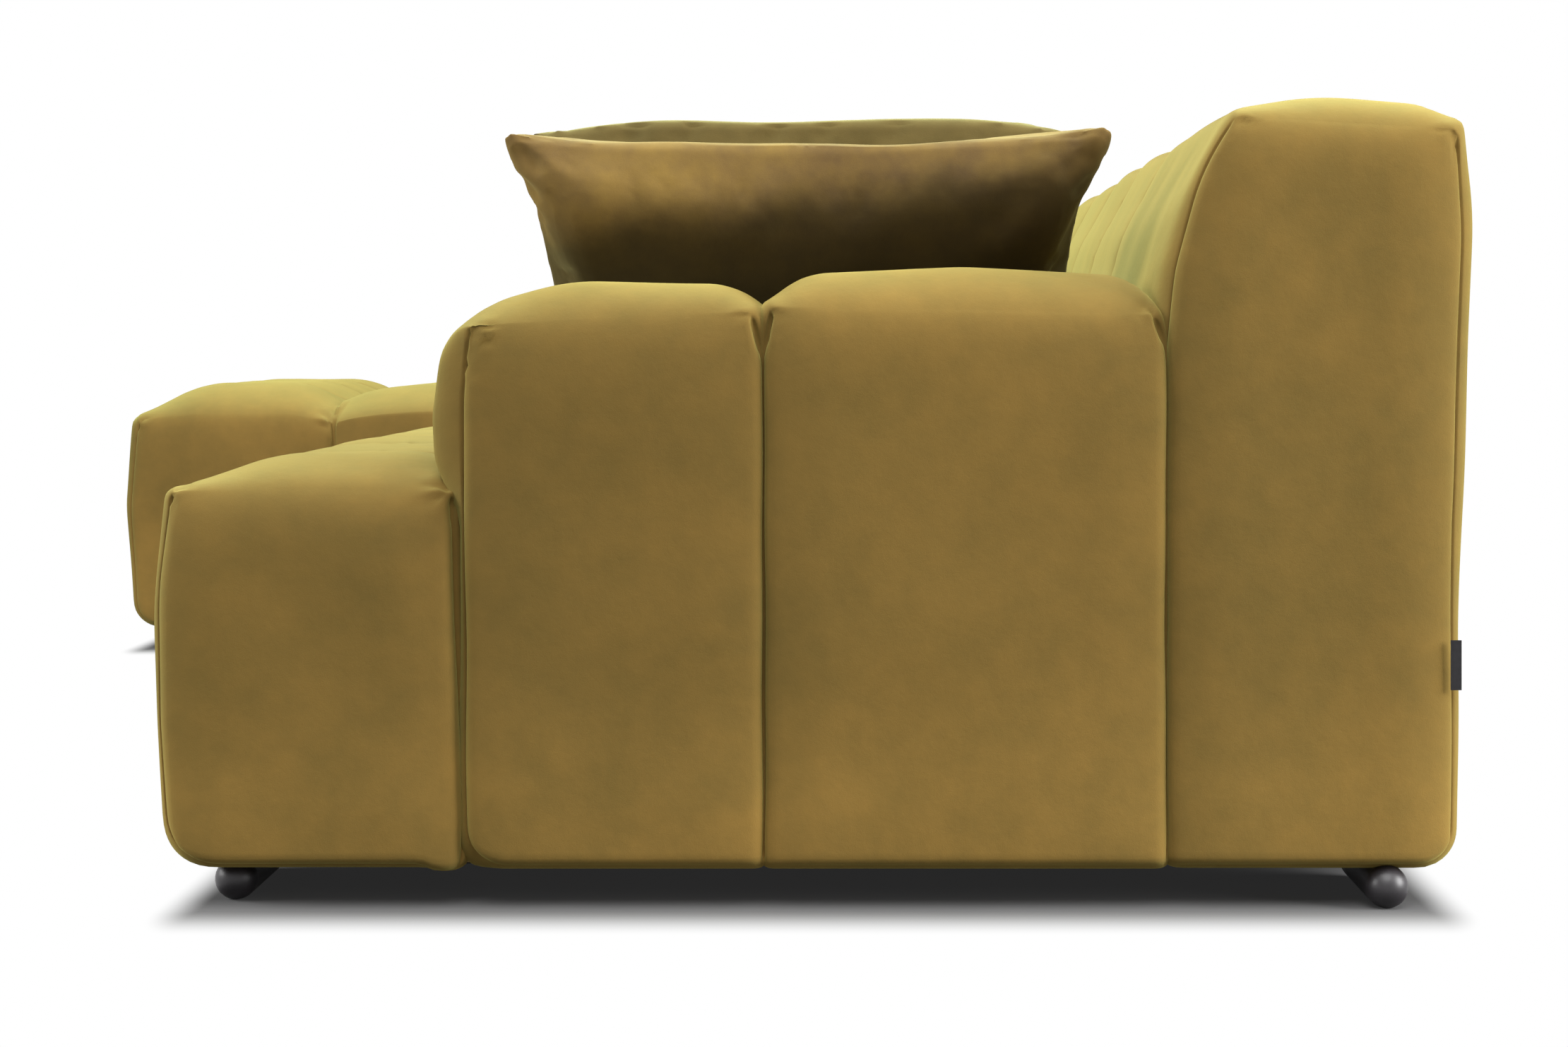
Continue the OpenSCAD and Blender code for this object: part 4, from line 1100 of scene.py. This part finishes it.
def inflate(shape, cap):
    """Blows the closed shape up as cloth, its movement easing off towards the cap."""
    start = bpy.data.objects.new(shape.name + "_start", shape.mesh)
    scene.collection.objects.link(start)
    remesh = start.modifiers.new("remesh", "REMESH")
    remesh.mode = "VOXEL"
    remesh.voxel_size = VOXEL
    bpy.context.view_layer.update()
    mesh = bpy.data.meshes.new_from_object(evaluated(start))
    start.modifiers.clear()
    start.data = mesh
    modifier = start.modifiers.new("cloth", "CLOTH")
    modifier.point_cache.frame_end = CLOTH_FRAMES
    cloth = modifier.settings
    cloth.use_pressure = True
    cloth.uniform_pressure_force = PRESSURE
    cloth.mass = CLOTH_MASS
    cloth.tension_stiffness = STRETCH_STIFFNESS
    cloth.compression_stiffness = STRETCH_STIFFNESS
    cloth.shear_stiffness = SHEAR_STIFFNESS
    cloth.bending_stiffness = BEND_STIFFNESS
    cloth.shrink_min = CLOTH_SHRINK
    cloth.effector_weights.gravity = 0
    for frame_number in range(1, CLOTH_FRAMES + 1):
        scene.frame_set(frame_number)
    blown = evaluated(start).to_mesh()
    count = len(mesh.vertices)
    old, new = np.zeros(count * 3), np.zeros(count * 3)
    mesh.vertices.foreach_get("co", old)
    blown.vertices.foreach_get("co", new)
    move = (new - old).reshape(-1, 3)
    length = np.linalg.norm(move, axis=1)[:, None]
    move *= cap * np.tanh(length / cap) / np.maximum(length, 1e-9)
    start.to_mesh_clear()
    start.modifiers.clear()
    scene.frame_set(1)
    mesh.vertices.foreach_set("co", (old.reshape(-1, 3) + move).ravel())
    smooth = start.modifiers.new("smooth", "SUBSURF")
    smooth.levels = 1
    smooth.render_levels = 1
    bpy.context.view_layer.update()
    shape.mesh = bpy.data.meshes.new_from_object(evaluated(start))
    bpy.data.objects.remove(start)


def cushion(which, height, roll, rise, seed):
    """A cushion, made flat in its own plane and then put in its place."""
    rim = cushion_rim(which, 60, height)
    half = np.array([CUSHION_WIDTH[which] / 2, height / 2])
    count = len(rim)
    full = UNBLOWN * CUSHION_FULL
    co, faces = [], []
    for way in (1, -1):
        for share in RIM_SHARES:
            for point in rim:
                square = share * point / half / np.abs(point / half).max()
                swells = np.tanh((1 - np.abs(square)) * half / SWELL) / np.tanh(half / SWELL)
                thick = RIM + (full / 2 - RIM) * np.prod(swells)
                co.append((way * thick, *(share * point)))
    co += [(full / 2, 0, 0), (-full / 2, 0, 0)]
    layers = len(RIM_SHARES)
    for k in range(layers - 1):
        for i in range(count):
            j = (i + 1) % count
            quad = (k * count + i, k * count + j, (k + 1) * count + j, (k + 1) * count + i)
            faces.append(quad)
            faces.append(tuple(v + layers * count for v in quad[::-1]))
    inner, other = (layers - 1) * count, layers * count
    for i in range(count):
        j = (i + 1) % count
        faces.append((inner + i, inner + j, 2 * other))
        faces.append((other + inner + j, other + inner + i, 2 * other + 1))
        faces.append((j, i, other + i, other + j))
    name = f"{which}_cushion"
    shape = Shape(name, np.array(co), faces)
    inflate(shape, MOST_BLOWN)
    blown, _ = shape.read()
    shape.write(blown * np.array([1, *np.ptp(rim, axis=0) / np.ptp(blown, axis=0)[1:]]))
    edge = np.column_stack([np.zeros(count), rim])
    edge = np.vstack([edge, edge[:1]]) * PIPING_SHARE
    for side in (PIPING_AT, -PIPING_AT):
        shape.press(edge + np.array([side, 0, 0]), 1.0 * MM, 3 * MM, fade=0)
    shape.folds(CUSHION_FULL / 2, CUSHION_FOLDS[which], ridge=0.25, fade=0.4)
    shape.crumple(1.5 * MM, 0.13, seed)
    shape.mesh.transform(cushion_place(which, roll, rise))
    nodes = (f"{name}_cover", f"{name}_filling")
    shape.done(f"{name}_velvet", *nodes, body=name, fill=0.7)


cushion("near", 392 * MM, math.radians(0.6), -2 * MM, 21)
cushion("far", 378 * MM, math.radians(0.3), -4 * MM, 22)


# Floor, backdrop and light

# The floor's size in metres, its colour where it keeps the shadow, and how that fades into the
# background away from the sofa, faster across its depth
FLOOR_SIZE = 40.0
FLOOR_DARK = (0.125,) * 3
FLOOR_LIGHT = (0.135,) * 3
FADE_START = -0.01
FADE_END = 0.11
FADE_ACROSS = 2.5
FADE_INSET = 0.04

# The world's strength as a light and as a background
WORLD_LIT = 0.07
WORLD_SEEN = 1.0

# Each light's place, its aim, its width, its depth, its watts and a tint
LIGHTS = {
    "overhead": ((0, 0.5, 3.4), (0, 0.5, 0), 6.0, 4.0, 258),
    "front": ((4.2, 0.5, 3.6), (1.5, 0.4, 0.4), 3.0, 2.2, 127),
    "side": ((2.6, 4.2, 1.6), (1.5, 0.6, 0.4), 2.2, 2.0, 285),
    "left": ((1.75, -2.8, 1.4), (1.45, 0, 0.45), 1.6, 1.2, 90),
    "chaise": ((-1.5, -0.2, 2.7), (-1.5, -0.2, 0), 1.6, 1.6, 72, (0.64, 1.0, 0.95)),
}


def seen_directly(tree):
    """1 for a camera, glossy or transmission ray, and 0 for the rays that light the object."""
    path = tree.nodes.new("ShaderNodeLightPath")
    most = path.outputs["Is Camera Ray"]
    for other in ("Is Glossy Ray", "Is Transmission Ray"):
        most = math_node(tree, "MAXIMUM", most, path.outputs[other])
    return most


def blend(tree, share, lit, seen, output):
    """Shows one shader for a share of the rays and keeps the other for the rest."""
    mix = tree.nodes.new("ShaderNodeMixShader")
    for k, source in enumerate((share, lit, seen)):
        tree.links.new(source, mix.inputs[k])
    tree.links.new(mix.outputs[0], tree.nodes[output].inputs["Surface"])


def away_from(tree, coords, low, high):
    """Distance on the floor from a rectangle, growing faster across its depth."""
    split = tree.nodes.new("ShaderNodeSeparateXYZ")
    tree.links.new(coords, split.inputs[0])
    parts = []
    for k, growth in enumerate((1.0, FADE_ACROSS)):
        centred = math_node(tree, "SUBTRACT", split.outputs[k], (low[k] + high[k]) / 2)
        away = math_node(tree, "ABSOLUTE", centred)
        outside = math_node(tree, "SUBTRACT", away, (high[k] - low[k]) / 2)
        outside = math_node(tree, "MAXIMUM", outside, 0.0)
        outside = math_node(tree, "MULTIPLY", outside, growth)
        parts.append(math_node(tree, "POWER", outside, 2.0))
    return math_node(tree, "SQRT", math_node(tree, "ADD", *parts))


def floor():
    mesh = bpy.data.meshes.new("floor")
    half = FLOOR_SIZE / 2
    corners = [(-half, -half, 0), (half, -half, 0), (half, half, 0), (-half, half, 0)]
    mesh.from_pydata(corners, [], [(0, 1, 2, 3)])
    obj = bpy.data.objects.new("floor", mesh)
    scene.collection.objects.link(obj)
    n = Nodes("floor")
    tree = n.tree
    n.set(Specular_IOR_Level=0.0)
    n.finish(n.ramp(n.noise(3.0), FLOOR_DARK, FLOOR_LIGHT), n.span(n.noise(40), 0.85, 0.95))
    front = box_of("front_roll_cover")[0][1] + FADE_INSET
    chaise_front_y = cad_low[1] + FADE_INSET
    rear = cad_high[1] - FADE_INSET
    sofa = away_from(tree, n.coords, (split_x, front), (end_x, rear))
    chaise = away_from(tree, n.coords, (cad_low[0], chaise_front_y), (split_x, rear))
    nearest = math_node(tree, "MINIMUM", sofa, chaise)
    faded = n.ease(nearest, FADE_START, FADE_END)
    share = math_node(tree, "MULTIPLY", faded, seen_directly(tree))
    white = tree.nodes.new("ShaderNodeEmission")
    blend(tree, share, n.shader.outputs[0], white.outputs[0], "Material Output")
    mesh.materials.append(n.material)


def world():
    w = bpy.data.worlds.new("world")
    scene.world = w
    w.use_nodes = True
    tree = w.node_tree
    lit = tree.nodes["Background"]
    seen = tree.nodes.new("ShaderNodeBackground")
    for node, strength in ((lit, WORLD_LIT), (seen, WORLD_SEEN)):
        node.inputs["Color"].default_value = (1, 1, 1, 1)
        node.inputs["Strength"].default_value = strength
    blend(tree, seen_directly(tree), lit.outputs[0], seen.outputs[0], "World Output")


def softbox(name, at, aim, width, depth, watts, color=(1, 1, 1)):
    data = bpy.data.lights.new(name, "AREA")
    data.shape = "RECTANGLE"
    data.size = width
    data.size_y = depth
    data.energy = watts
    data.color = color
    obj = bpy.data.objects.new(name, data)
    obj.location = at
    obj.visible_camera = True
    obj.rotation_euler = (Vector(aim) - Vector(at)).to_track_quat("-Z", "Y").to_euler()
    scene.collection.objects.link(obj)


world()
floor()
for light_name, light in LIGHTS.items():
    softbox(light_name, *light)
scene.view_settings.view_transform = "Standard"
